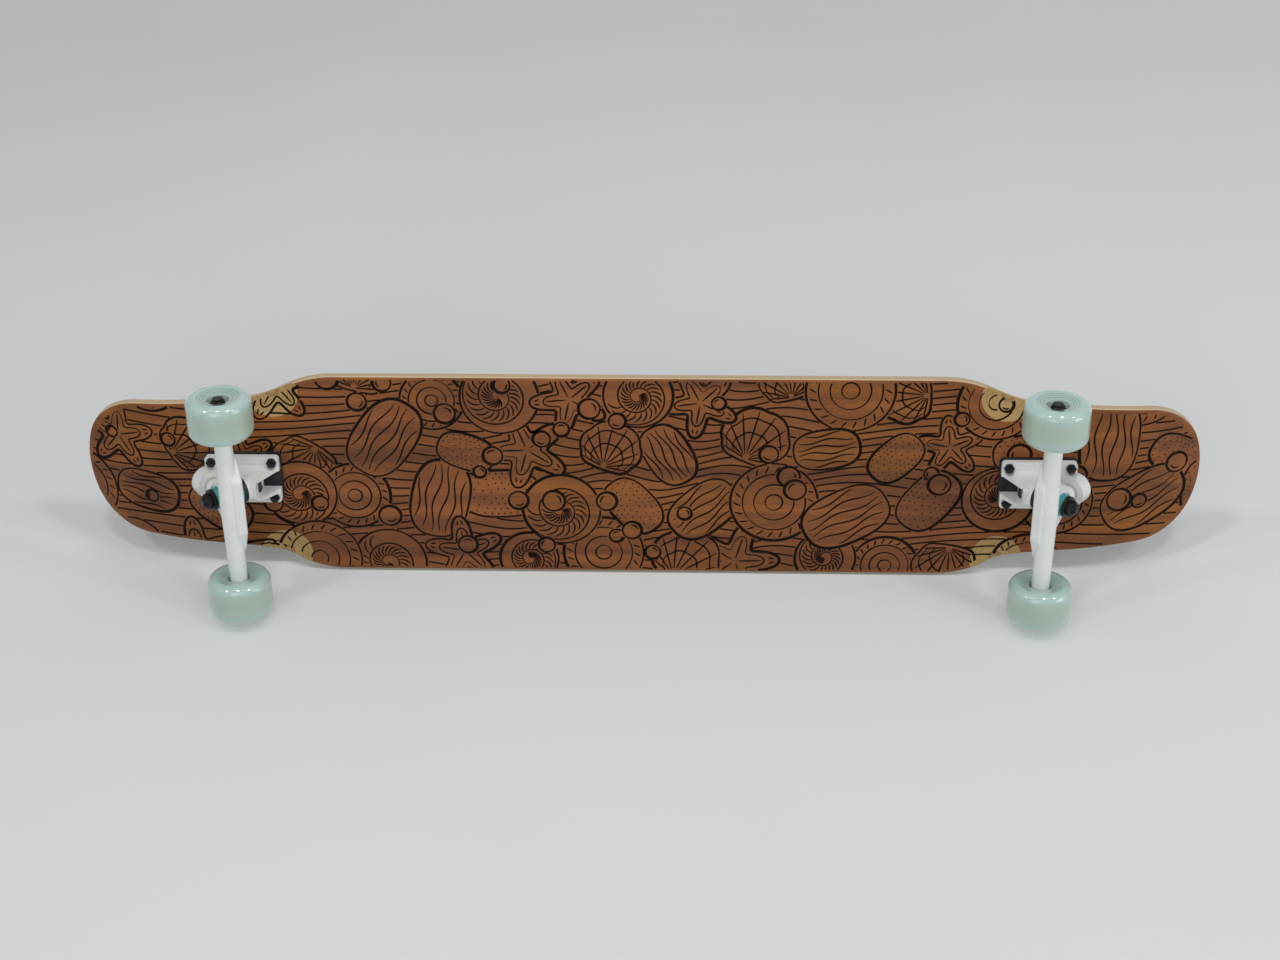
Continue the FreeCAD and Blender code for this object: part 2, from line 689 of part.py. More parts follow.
def axle_nuts():
    """The locknuts that hold the wheels on."""
    piece = nut(AXLE_NUT_FLATS, AXLE_NUT_HEIGHT, NUT_COLLAR_HEIGHT, AXLE_DIAMETER + 2 * FIT, 0)
    return both_sides([on_axle(piece, HUB_OUTER + AXLE_WASHER_THICKNESS)])


def axle_washers():
    """The small washers either side of each wheel's bearings."""
    bore = AXLE_DIAMETER + 2 * FIT
    return both_sides([on_axle(tube(AXLE_WASHER_DIAMETER, bore, AXLE_WASHER_THICKNESS, 0), y)
                       for y in (HANGER_WIDTH / 2, HUB_OUTER)])


def bearing_spacers():
    """The tubes between each wheel's two bearings."""
    return both_sides([on_axle(tube(SPACER_DIAMETER, AXLE_DIAMETER + 2 * FIT, SPACER_LENGTH, 0),
                               WHEEL_Y - SPACER_LENGTH / 2)])


def bearing_middles():
    """Where the front left wheel's two bearings have their middles, along the axle."""
    return (WHEEL_Y - BEARING_OFFSET, WHEEL_Y + BEARING_OFFSET)


def groove():
    """A cutter for the balls' track, round +Z at zero height."""
    return Part.makeTorus(BALL_PITCH / 2, BALL_DIAMETER / 2 + BALL_PLAY)


def inner_race():
    """A bearing's inner ring, centred at zero height."""
    ring = tube(INNER_SHOULDER, AXLE_DIAMETER + 2 * FIT, BEARING_WIDTH, -BEARING_WIDTH / 2)
    return ring.cut(groove())


def shield_floor():
    """The height of a shield's inner face above the bearing's middle."""
    return BEARING_WIDTH / 2 - SHIELD_INSET - SHIELD_THICKNESS


def outer_race():
    """A bearing's outer ring, with a step at each side for its shield."""
    ring = tube(BEARING_DIAMETER, OUTER_SHOULDER, BEARING_WIDTH, -BEARING_WIDTH / 2)
    step = tube(OUTER_SHOULDER + 2 * SHIELD_SEAT, 0, OVERRUN, shield_floor())
    far_step = tube(OUTER_SHOULDER + 2 * SHIELD_SEAT, 0, OVERRUN, -shield_floor() - OVERRUN)
    return ring.cut([groove(), step, far_step])


def shields():
    """A bearing's two thin shields, on the steps of its outer ring."""
    outer = OUTER_SHOULDER + 2 * (SHIELD_SEAT - FIT)
    inner = INNER_SHOULDER + 2 * RUN
    return [tube(outer, inner, SHIELD_THICKNESS, start)
            for start in (shield_floor(), -shield_floor() - SHIELD_THICKNESS)]


def ball_places():
    """The balls' middles round the bearing."""
    step = radians(360 / BALL_COUNT)
    return [V(cos(step * i), sin(step * i), 0) * (BALL_PITCH / 2) for i in range(BALL_COUNT)]


def balls():
    """One bearing's balls."""
    return [Part.makeSphere(BALL_DIAMETER / 2, place) for place in ball_places()]


def cage():
    """The crown that keeps one bearing's balls apart."""
    ring = tube(BALL_PITCH + CAGE_RADIAL, BALL_PITCH - CAGE_RADIAL, CAGE_BACK + CAGE_FRONT, -CAGE_BACK)
    return ring.cut([Part.makeSphere(BALL_DIAMETER / 2 + BALL_PLAY, place) for place in ball_places()])


def inner_races():
    """The inner rings of all the bearings on one axle."""
    return both_sides([on_axle(inner_race(), y) for y in bearing_middles()])


def tyre():
    """The cast urethane wheel: round lips, a dished face at each side and a bore to the bearings."""
    rim = WHEEL_DIAMETER / 2
    crest = rim - WHEEL_LIP_ROUND
    side = WHEEL_WIDTH / 2
    tread = side - WHEEL_LIP_ROUND
    bore = WHEEL_BORE / 2
    dish = radians(WHEEL_DISH_ANGLE)
    slant = sqrt(2) / 2

    def on_crest(angle):
        return (crest - WHEEL_CREST_ROUND * sin(angle), side - WHEEL_CREST_ROUND * (1 - cos(angle)))

    edge = on_crest(dish)
    hub = edge[1] - (edge[0] - bore) * tan(dish)
    half = [
        [(bore, hub), edge],
        [edge, on_crest(dish / 2), (crest, side)],
        [(crest, side), (crest + WHEEL_LIP_ROUND * slant, tread + WHEEL_LIP_ROUND * slant), (rim, tread)],
    ]
    curves = [line_or_arc([V(radius, 0, way * height) for radius, height in points])
              for way in (-1, 1) for points in half]
    curves.append(Part.LineSegment(V(bore, 0, -hub), V(bore, 0, hub)))
    curves.append(Part.LineSegment(V(rim, 0, -tread), V(rim, 0, tread)))
    ring = face_from(curves).revolve(V(), UP, 360)
    return ring.cut(tube(CORE_DIAMETER, 0, CORE_WIDTH, -CORE_WIDTH / 2))


def wheel_core():
    """The hard hub in the tyre, with a bearing seat at each side and a stop between them."""
    outer = CORE_DIAMETER - 2 * FIT
    width = CORE_WIDTH - 2 * FIT
    hub = tube(outer, CORE_STOP, width, -width / 2)
    seat = BEARING_DIAMETER + 2 * FIT
    near = tube(seat, 0, CORE_WIDTH, SPACER_LENGTH / 2)
    far = tube(seat, 0, CORE_WIDTH, -SPACER_LENGTH / 2 - CORE_WIDTH)
    return hub.cut([near, far])


def wheel_pieces():
    """The pieces of the front left wheel and its two bearings."""
    seats = bearing_middles()
    return {
        "tyre": on_axle(tyre(), WHEEL_Y),
        "wheel_core": on_axle(wheel_core(), WHEEL_Y),
        "bearing_outer_races": Part.makeCompound([on_axle(outer_race(), y) for y in seats]),
        "bearing_shields": Part.makeCompound([on_axle(piece, y) for y in seats for piece in shields()]),
        "bearing_balls": Part.makeCompound([on_axle(Part.makeCompound(balls()), y) for y in seats]),
        "bearing_cages": Part.makeCompound([on_axle(cage(), y) for y in seats]),
    }


def truck_pieces():
    """The pieces of the front truck."""
    return {
        "riser_pad": riser_pad(),
        "baseplate": baseplate(),
        "pivot_cup": pivot_cup(),
        "kingpin": kingpin(),
        "kingpin_nut": kingpin_nut(),
        "boardside_bushing": boardside_bushing(),
        "roadside_bushing": roadside_bushing(),
        "boardside_washer": boardside_washer(),
        "roadside_washer": roadside_washer(),
        "hanger": hanger(),
        "axle": axle(),
        "axle_nuts": axle_nuts(),
        "axle_washers": axle_washers(),
        "bearing_spacers": bearing_spacers(),
        "bearing_inner_races": inner_races(),
    }


def all_pieces():
    """Every node of the board by name."""
    pieces = deck_pieces()
    for name, maker in (("mounting_bolts", mounting_bolts), ("mounting_nuts", mounting_nuts)):
        pieces[name] = Part.makeCompound([maker(), half_turned(maker())])
    for name, shape in truck_pieces().items():
        pieces["front_" + name] = shape
        pieces["rear_" + name] = half_turned(shape)
    for name, shape in wheel_pieces().items():
        right = other_side(shape)
        pieces["front_left_" + name] = shape
        pieces["front_right_" + name] = right
        pieces["rear_right_" + name] = half_turned(shape)
        pieces["rear_left_" + name] = half_turned(right)
    return pieces


os.makedirs("parts", exist_ok=True)
for node, piece in all_pieces().items():
    piece.exportStep("parts/" + node + ".step")
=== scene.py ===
from math import cos, pi, radians, sin

import bpy
import numpy as np
from mathutils import Matrix, Vector


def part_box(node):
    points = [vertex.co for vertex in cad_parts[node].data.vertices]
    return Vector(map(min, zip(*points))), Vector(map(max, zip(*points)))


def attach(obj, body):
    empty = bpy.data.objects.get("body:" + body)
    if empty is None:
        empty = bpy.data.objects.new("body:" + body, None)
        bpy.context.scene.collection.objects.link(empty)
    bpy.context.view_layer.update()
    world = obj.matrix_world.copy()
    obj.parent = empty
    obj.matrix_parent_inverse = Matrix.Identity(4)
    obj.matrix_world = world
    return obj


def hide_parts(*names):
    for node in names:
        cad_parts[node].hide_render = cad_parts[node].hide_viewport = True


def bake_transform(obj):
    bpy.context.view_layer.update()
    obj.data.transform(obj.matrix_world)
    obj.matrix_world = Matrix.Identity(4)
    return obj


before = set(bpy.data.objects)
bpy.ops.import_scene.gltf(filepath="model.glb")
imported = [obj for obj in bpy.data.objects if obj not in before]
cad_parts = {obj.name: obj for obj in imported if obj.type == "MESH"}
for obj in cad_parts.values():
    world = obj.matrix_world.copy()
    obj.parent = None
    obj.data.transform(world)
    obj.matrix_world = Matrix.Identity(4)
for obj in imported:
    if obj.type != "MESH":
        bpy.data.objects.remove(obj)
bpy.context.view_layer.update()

# Deck core: thin maple plies glued in a press that bends both ends up, then cut to the outline,
# rounded at the rails and sanded into four wells over the wheels. The plies show as bands
# wherever the wood is cut: along the rails and round the wells.
DECK_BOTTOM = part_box("bottom_veneer")[0].z
KICK_START = 0.446
KICK_RADIUS = 0.338
VENEER_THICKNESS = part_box("deck_core")[0].z - DECK_BOTTOM
PLY_THICKNESS = 0.00146
GLUE_SHARE = 0.10
PLY_DENT = 0.00012
GRAIN_BEND = 0.035
GRAIN_BEND_WAVES = (1.6, 5.0, 5.0)
STREAK_WAVES = (2.2, 75.0, 75.0)
PORE_WAVES = (60.0, 1900.0, 1900.0)
PORE_CUT = (0.60, 0.74)
UNDER_CUT = (-0.55, -0.9)
LACQUER_SHARE = 0.9
PLY_STREAK_SHARE = 0.30
PLY_PORE_SHARE = 0.35
GLUE_DARK_SHARE = 0.7
PALE_PLY = (0.59, 0.465, 0.31, 1)
CROSS_PLY = (0.50, 0.345, 0.19, 1)
GLUE_LINE = (0.24, 0.13, 0.055, 1)
LACQUERED_PLY = (0.40, 0.235, 0.052, 1)


def node(tree, kind, inputs=None, **settings):
    """Adds a shader node: settings are its properties, and inputs its sockets, each a value or a socket
    to link."""
    made = tree.nodes.new(kind)
    for name, value in settings.items():
        setattr(made, name, value)
    for name, value in (inputs or {}).items():
        if isinstance(value, bpy.types.NodeSocket):
            tree.links.new(value, made.inputs[name])
        else:
            made.inputs[name].default_value = value
    return made


def calc(tree, operation, *terms):
    """One step of arithmetic on values or sockets."""
    return node(tree, "ShaderNodeMath", dict(enumerate(terms)), operation=operation).outputs[0]


def spread(tree, value, low, high, to_low=0.0, to_high=1.0):
    """A value carried from one range to another and held at its ends."""
    inputs = {"Value": value, "From Min": low, "From Max": high, "To Min": to_low, "To Max": to_high}
    return node(tree, "ShaderNodeMapRange", inputs).outputs[0]


def blend_colours(tree, share, first, second):
    """A mix of two colours by a share from nought to one."""
    mix = node(tree, "ShaderNodeMix", data_type="RGBA")
    for socket, value in ((mix.inputs[0], share), (mix.inputs[6], first), (mix.inputs[7], second)):
        if isinstance(value, bpy.types.NodeSocket):
            tree.links.new(value, socket)
        else:
            socket.default_value = value
    return mix.outputs[2]


def noise(tree, vector, scale, detail=2.0, roughness=0.5):
    """Smooth noise from nought to one, with its scale in waves per metre."""
    inputs = {"Vector": vector, "Scale": scale, "Detail": detail, "Roughness": roughness}
    return node(tree, "ShaderNodeTexNoise", inputs).outputs["Fac"]


def stretched(tree, vector, scales):
    """Coordinates drawn out or packed along each axis."""
    return node(tree, "ShaderNodeVectorMath", {0: vector, 1: scales}, operation="MULTIPLY").outputs[0]


def group(name, inputs, outputs):
    """A new node group with named sockets, and its two end nodes."""
    tree = bpy.data.node_groups.new(name, "ShaderNodeTree")
    for label, kind in inputs.items():
        tree.interface.new_socket(name=label, in_out="INPUT", socket_type="NodeSocket" + kind)
    for label, kind in outputs.items():
        tree.interface.new_socket(name=label, in_out="OUTPUT", socket_type="NodeSocket" + kind)
    return tree, tree.nodes.new("NodeGroupInput").outputs, tree.nodes.new("NodeGroupOutput").inputs


def placed(tree, made_group, **inputs):
    """A group placed in a material; gives its outputs."""
    return node(tree, "ShaderNodeGroup", inputs, node_tree=made_group).outputs


def new_finish(name, **sockets):
    """A new material: its tree, its Principled shader with plain sockets set, and its object coordinates."""
    material = bpy.data.materials.new(name)
    material.use_nodes = True
    tree = material.node_tree
    tree.nodes.clear()
    inputs = {key.replace("_", " "): value for key, value in sockets.items()}
    shader = node(tree, "ShaderNodeBsdfPrincipled", inputs)
    node(tree, "ShaderNodeOutputMaterial", {"Surface": shader.outputs[0]})
    return material, tree, shader.inputs, node(tree, "ShaderNodeTexCoord").outputs["Object"]


def dented(tree, sockets, height, depth, strength=1.0):
    """Gives a shader small dents: a height from nought to one, as deep as a length in metres."""
    bump = node(tree, "ShaderNodeBump", {"Height": height, "Distance": depth, "Strength": strength})
    tree.links.new(bump.outputs[0], sockets["Normal"])


def paint(material, *nodes):
    """Puts one finish on CAD nodes."""
    for name in nodes:
        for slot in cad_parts[name].material_slots:
            slot.material = material


def deck_height_group():
    """Height above the underside, square to it: the kick's radius less the distance from its centre line,
    which stays over the point while that is on the flat."""
    tree, given, out = group("deck_height", {"Vector": "Vector"}, {"Height": "Float"})
    place = node(tree, "ShaderNodeSeparateXYZ", {0: given[0]}).outputs
    past = calc(tree, "SUBTRACT", calc(tree, "ABSOLUTE", place["X"]), KICK_START)
    past = calc(tree, "MAXIMUM", past, 0.0)
    below = calc(tree, "SUBTRACT", DECK_BOTTOM + KICK_RADIUS, place["Z"])
    both = calc(tree, "ADD", calc(tree, "MULTIPLY", past, past), calc(tree, "MULTIPLY", below, below))
    tree.links.new(calc(tree, "SUBTRACT", KICK_RADIUS, calc(tree, "SQRT", both)), out[0])
    return tree


def wood_grain_group():
    """Grain along X: broad streaks from slow noise drawn out lengthwise and bent by slower noise, and short
    dark pores from fast noise cut at a threshold."""
    tree, given, out = group("wood_grain", {"Vector": "Vector"}, {"Streak": "Float", "Pore": "Float"})
    bend = noise(tree, stretched(tree, given[0], GRAIN_BEND_WAVES), 1.0, 1.0)
    shift = node(tree, "ShaderNodeCombineXYZ", {"Y": calc(tree, "MULTIPLY", bend, GRAIN_BEND)}).outputs[0]
    bent = node(tree, "ShaderNodeVectorMath", {0: given[0], 1: shift}, operation="ADD").outputs[0]
    tree.links.new(noise(tree, stretched(tree, bent, STREAK_WAVES), 1.0, 5.0, 0.62), out["Streak"])
    fine = noise(tree, stretched(tree, bent, PORE_WAVES), 1.0, 1.0)
    tree.links.new(spread(tree, fine, *PORE_CUT), out["Pore"])
    return tree


deck_height = deck_height_group()
wood_grain = wood_grain_group()


def maple_ply():
    """Bands by height: pale plies along the board, browner ones across it, and thin glue lines between
    them. Faces that look down, in the wells, are yellower under lacquer."""
    material, tree, sockets, place = new_finish("maple_ply", Roughness=0.42, Coat_Weight=0.25,
                                                Coat_Roughness=0.25)
    height = placed(tree, deck_height, Vector=place)["Height"]
    plies = calc(tree, "DIVIDE", calc(tree, "SUBTRACT", height, VENEER_THICKNESS), PLY_THICKNESS)
    crosswise = calc(tree, "GREATER_THAN", calc(tree, "FRACT", calc(tree, "MULTIPLY", plies, 0.5)), 0.5)
    edge = calc(tree, "PINGPONG", plies, 0.5)
    glue = spread(tree, edge, GLUE_SHARE, GLUE_SHARE / 3)
    grain = placed(tree, wood_grain, Vector=place)
    facing = node(tree, "ShaderNodeTexCoord").outputs["Normal"]
    down = node(tree, "ShaderNodeSeparateXYZ", {0: facing}).outputs["Z"]
    under = spread(tree, down, *UNDER_CUT)
    ply = blend_colours(tree, crosswise, PALE_PLY, CROSS_PLY)
    ply = blend_colours(tree, calc(tree, "MULTIPLY", under, LACQUER_SHARE), ply, LACQUERED_PLY)
    ply = blend_colours(tree, calc(tree, "MULTIPLY", grain["Streak"], PLY_STREAK_SHARE), ply, CROSS_PLY)
    ply = blend_colours(tree, calc(tree, "MULTIPLY", grain["Pore"], PLY_PORE_SHARE), ply, GLUE_LINE)
    ply = blend_colours(tree, calc(tree, "MULTIPLY", glue, GLUE_DARK_SHARE), ply, GLUE_LINE)
    tree.links.new(ply, sockets["Base Color"])
    dented(tree, sockets, grain["Streak"], PLY_DENT, 0.4)
    return material


paint(maple_ply(), "deck_core")

# Bottom veneer: a sheet of close-grained wood, stained red-brown, on the underside under a satin lacquer.
# It ends where the rails are rounded and where the wells are sanded through it.
STAIN_LIGHT = (0.305, 0.100, 0.028, 1)
STAIN_DEEP = (0.125, 0.040, 0.014, 1)
STAIN_AMBER = (0.315, 0.108, 0.014, 1)
STAIN_PORE = (0.055, 0.020, 0.010, 1)
STAIN_PATCH_WAVES = (7.0, 24.0, 24.0)
AMBER_WAVES = (4.0, 9.0, 9.0)
PORE_DENT = -0.00005
STAIN_PATCH_SHARE = 0.8
STAIN_CUT = (0.66, 1.12)
AMBER_CUT = (0.42, 0.62)
STAIN_PORE_SHARE = 0.45
VENEER_GLOSS_CUT = (0.2, 0.8)
VENEER_ROUGHNESS = (0.38, 0.52)


def stained_veneer():
    """Streaks between two depths of stain, the lighter one amber in broad patches, with dark pores."""
    material, tree, sockets, place = new_finish("stained_veneer", Coat_Weight=0.12, Coat_Roughness=0.40,
                                                Specular_IOR_Level=0.25)
    grain = placed(tree, wood_grain, Vector=place)
    patch = noise(tree, stretched(tree, place, STAIN_PATCH_WAVES), 1.0, 3.0, 0.55)
    patch = calc(tree, "MULTIPLY", patch, STAIN_PATCH_SHARE)
    depth = spread(tree, calc(tree, "ADD", grain["Streak"], patch), *STAIN_CUT)
    amber = spread(tree, noise(tree, stretched(tree, place, AMBER_WAVES), 1.0, 2.0), *AMBER_CUT)
    colour = blend_colours(tree, depth, blend_colours(tree, amber, STAIN_LIGHT, STAIN_AMBER), STAIN_DEEP)
    colour = blend_colours(tree, calc(tree, "MULTIPLY", grain["Pore"], STAIN_PORE_SHARE), colour, STAIN_PORE)
    tree.links.new(colour, sockets["Base Color"])
    gloss = spread(tree, grain["Streak"], *VENEER_GLOSS_CUT, *VENEER_ROUGHNESS)
    tree.links.new(gloss, sockets["Roughness"])
    dented(tree, sockets, grain["Pore"], PORE_DENT, 0.5)
    return material


paint(stained_veneer(), "bottom_veneer")

# Printed design: black ink, screen-printed on the stained veneer under the lacquer. Shells, stars, pebbles
# and bubbles overlap each other, over wavy lines that run along the board.
INK_SEED = 23
INK_STEP = 0.0016
INK_LIFT = 0.00006
INK_SINK = 0.00012
INK_WELL_LIFT = 0.00022
INK_BOLD = 0.00138
INK_FINE = 0.00095
INK_MARGIN = 0.0034
PLATFORM_HALF_WIDTH = 0.1145
NECK_HALF_WIDTH = 0.0875
NECK_START = 0.313
NECK_END = 0.413
TAIL_HALF_WIDTH = 0.079
TAIL_START = 0.505
TAIL_END = 0.589
WELL_CENTRE = (0.3785, 0.095)
WELL_RADIUS = 0.030
WELL_DEPTH = 0.0054
MOTIF_PITCH = (0.074, 0.066)
MOTIF_RADII = {"fan": 0.047, "coil": 0.040, "pebble": 0.043, "star": 0.044, "discs": 0.041,
               "dotted": 0.038}
BUBBLE_RADII = (0.006, 0.013)
BUBBLE_COUNT = 46
MOTIF_JITTER = 0.013
MOTIF_SCALES = (0.80, 1.12)
LANE_PITCH = 0.0096
LANES_EACH_SIDE = 12
LANE_WAVE = 0.0055
INK_BLACK = (0.0085, 0.0045, 0.0025, 1)
INK_WORN = (0.028, 0.013, 0.006, 1)
INK_WEAR_WAVES = 130.0
INK_WEAR_CUT = (0.52, 0.78)
INK_ROUGHNESS = (0.42, 0.55)


def printed_half_width(x):
    """Half the width of the printed field: a smooth step to the neck, a straight taper to the tail and a
    superellipse round the tip, all drawn in by a margin."""
    step = np.clip((np.abs(x) - NECK_START) / (NECK_END - NECK_START), 0, 1)
    side = PLATFORM_HALF_WIDTH - (PLATFORM_HALF_WIDTH - NECK_HALF_WIDTH) * step ** 2 * (3 - 2 * step)
    taper = np.clip((np.abs(x) - NECK_END) / (TAIL_START - NECK_END), 0, 1)
    side = side - (NECK_HALF_WIDTH - TAIL_HALF_WIDTH) * taper
    tip = np.clip((np.abs(x) - TAIL_START) / (TAIL_END - INK_MARGIN - TAIL_START), 0, 1)
    return side * np.sqrt(1 - tip ** 2.4) - INK_MARGIN


def underside_height(x, y):
    """Height of the underside: flat, then an arc of the kick's radius, raised by a ball's cap in each
    well, less a small lift there for the facets of the wells."""
    past = np.clip(np.abs(x) - KICK_START, 0, None)
    ball = (WELL_RADIUS ** 2 + WELL_DEPTH ** 2) / (2 * WELL_DEPTH)
    off = np.hypot(np.abs(x) - WELL_CENTRE[0], np.abs(y) - WELL_CENTRE[1])
    cap = np.clip(np.sqrt(np.clip(ball ** 2 - off ** 2, 0, None)) - (ball - WELL_DEPTH), 0, None)
    kick = KICK_RADIUS - np.sqrt(KICK_RADIUS ** 2 - past ** 2)
    return DECK_BOTTOM + kick + cap - np.minimum(cap, INK_WELL_LIFT)


def motif_rim(kind, angle):
    """A motif's outline as a radius round its middle, at most one. The fan is a circle pinched to a hinge
    with scallops, the pebble a superellipse, the star a five-fold wave, and the others nearly round."""
    from_top = np.abs((angle + pi / 2) % (2 * pi) - pi)
    if kind == "fan":
        return 0.62 + 0.33 * np.cos(from_top) + 0.05 * np.abs(np.sin(4 * from_top)) * (from_top < 2.3)
    if kind in ("pebble", "dotted"):
        return (np.abs(np.cos(angle)) ** 2.6 + np.abs(np.sin(angle) / 0.66) ** 2.6) ** (-1 / 2.6)
    if kind == "star":
        return 0.46 + 0.52 * (0.5 + 0.5 * np.cos(5 * from_top)) ** 1.1
    if kind == "coil":
        return 0.95 + 0.05 * np.cos(angle - 0.7)
    return np.ones_like(angle)


def polar(radius, angle):
    """Points at a radius and an angle."""
    return np.stack([radius * np.cos(angle), radius * np.sin(angle)], axis=-1)


def motif_details(kind):
    """The fine lines inside a motif of radius one: ribs and growth lines of a fan, the spiral of a coil
    with its cross walls, the stripes or dots of a pebble, the mid lines of a star's arms, rings and
    ticks of discs, and the glint of a bubble."""
    lines = []
    part = np.linspace(0, 1, 24)[:, None]
    if kind == "fan":
        hinge = np.array([0, -0.22])
        arc = np.linspace(-1.75, 1.75, 60) + pi / 2
        edge = polar(motif_rim(kind, arc), arc)
        lines += [hinge + (edge - hinge) * share for share in (0.52, 0.80)]
        for turn in np.linspace(-1.75, 1.75, 10) + pi / 2:
            top = polar(motif_rim(kind, np.array([turn])), turn)
            lines.append(hinge + (top - hinge) * (0.10 + 0.84 * part))
    if kind == "coil":
        turns = np.linspace(0.9, 5.6 * pi, 220)
        lines.append(polar(0.92 * (turns / turns[-1]) ** 1.25, turns))
        for turn in np.arange(2.4 * pi, 5.5 * pi, 0.30):
            inner, outer = (0.92 * (np.array([turn - 2 * pi, turn]) / turns[-1]) ** 1.25)
            wall = inner + (outer - inner) * (0.06 + 0.80 * part[:, 0])
            lines.append(polar(wall, turn + 0.35 * part[:, 0] ** 2))
    if kind == "pebble":
        along = np.linspace(-0.98, 0.98, 70)
        for height in np.linspace(-0.50, 0.50, 6):
            stripe = np.stack([along, height + 0.055 * np.sin(5 * along + 7 * height)], axis=1)
            inside = np.hypot(*stripe.T) < 0.90 * motif_rim(kind, np.arctan2(stripe[:, 1], stripe[:, 0]))
            lines.append(stripe[inside])
    if kind == "dotted":
        for ring, count in ((0.22, 6), (0.44, 12), (0.66, 18), (0.86, 24)):
            for turn in 2 * pi / count * (np.arange(count) + 10 * ring):
                radius = ring * motif_rim(kind, np.array([turn]))
                lines.append(polar(radius, turn) + 0.045 * polar(part[:, 0] - 0.5, 1.1))
    if kind == "star":
        around = np.linspace(0, 2 * pi, 90)
        lines.append(polar(0.66 * motif_rim(kind, around), around))
        for turn in pi / 2 + 2 * pi / 5 * np.arange(5):
            lines.append(polar(0.08 + 0.50 * part[:, 0], turn))
            for side in (-1, 1):
                lines.append(polar(0.74 + 0.12 * part[:, 0], turn + side * 0.10 * (1 - 0.6 * part[:, 0])))
    if kind == "discs":
        around = np.linspace(0, 2 * pi, 90)
        lines += [polar(radius, around) for radius in (0.20, 0.46, 0.72)]
        for turn in np.arange(0, 2 * pi, 2 * pi / 22):
            lines.append(polar(0.77 + 0.16 * part[:, 0], turn + 0.12 * part[:, 0]))
    if kind == "bubble":
        lines.append(polar(0.60, np.linspace(1.7, 3.3, 20)))
    return lines


def even_steps(line):
    """A line's points at even steps along it."""
    run = np.concatenate([[0], np.cumsum(np.hypot(*np.diff(line, axis=0).T))])
    at = np.linspace(0, run[-1], max(int(run[-1] / INK_STEP), 2) + 1)
    return np.stack([np.interp(at, run, line[:, 0]), np.interp(at, run, line[:, 1])], axis=1)


def motif_places(chance):
    """The motifs' kinds, middles, radii and turns: a lattice with every second row shifted, each place
    jittered, then the bubbles at random."""
    kinds = list(MOTIF_RADII)
    places = []
    for row, y in enumerate(np.arange(-1.5, 2) * MOTIF_PITCH[1]):
        for column, x in enumerate(np.arange(-8, 8.5) * MOTIF_PITCH[0] + (row % 2) * MOTIF_PITCH[0] / 2):
            kind = kinds[(column * 3 + row * 2 + int(chance.integers(2))) % len(kinds)]
            middle = np.array([x, y]) + chance.uniform(-MOTIF_JITTER, MOTIF_JITTER, 2)
            radius = MOTIF_RADII[kind] * chance.uniform(*MOTIF_SCALES)
            places.append((kind, middle, radius, chance.uniform(0, 2 * pi)))
    places = [places[i] for i in chance.permutation(len(places))]
    for _ in range(BUBBLE_COUNT):
        middle = chance.uniform((-TAIL_END, -PLATFORM_HALF_WIDTH), (TAIL_END, PLATFORM_HALF_WIDTH))
        places.append(("bubble", middle, chance.uniform(*BUBBLE_RADII), chance.uniform(0, 2 * pi)))
    return places


def design_lines(places, chance):
    """Every line of the design as (points, half widths, order): wavy lanes first, then each motif's
    outline, which swells and thins, and its details, which taper off."""
    lines = []
    x = np.linspace(-TAIL_END, TAIL_END, 1200)
    for lane in np.arange(-LANES_EACH_SIDE, LANES_EACH_SIDE + 1) * LANE_PITCH:
        wave = LANE_WAVE * np.sin(34 * x + 3 * np.sin(7 * x) + 40 * lane)
        points = even_steps(np.stack([x, lane + wave], axis=1))
        lines.append((points, np.full(len(points), INK_FINE), -1))
    around = np.linspace(0, 2 * pi, 160)
    for order, (kind, middle, radius, turn) in enumerate(places):
        spin = np.array([[cos(turn), sin(turn)], [-sin(turn), cos(turn)]])
        rim = even_steps(middle + radius * polar(motif_rim(kind, around), around) @ spin)
        swell = 1 + 0.30 * np.sin(np.linspace(0, 2 * pi, len(rim)) + chance.uniform(0, 2 * pi))
        lines.append((rim, INK_BOLD * swell, order))
        for detail in motif_details(kind):
            if len(detail) > 2:
                points = even_steps(middle + radius * detail @ spin)
                fade = np.sin(pi * np.linspace(0.06, 0.94, len(points))) ** 0.5
                lines.append((points, INK_FINE * fade, order))
    return lines


def visible_points(points, order, places):
    """Which points show: those in the printed field that no later motif covers."""
    shown = np.abs(points[:, 1]) < printed_half_width(points[:, 0])
    around = np.linspace(-pi, pi, 160)
    for later, (kind, middle, radius, turn) in enumerate(places):
        off = points - middle
        angle = (np.arctan2(off[:, 1], off[:, 0]) - turn + pi) % (2 * pi) - pi
        rim = radius * np.interp(angle, around, motif_rim(kind, around)) + INK_BOLD
        shown &= (order >= later) | (np.hypot(*off.T) > rim)
    return shown


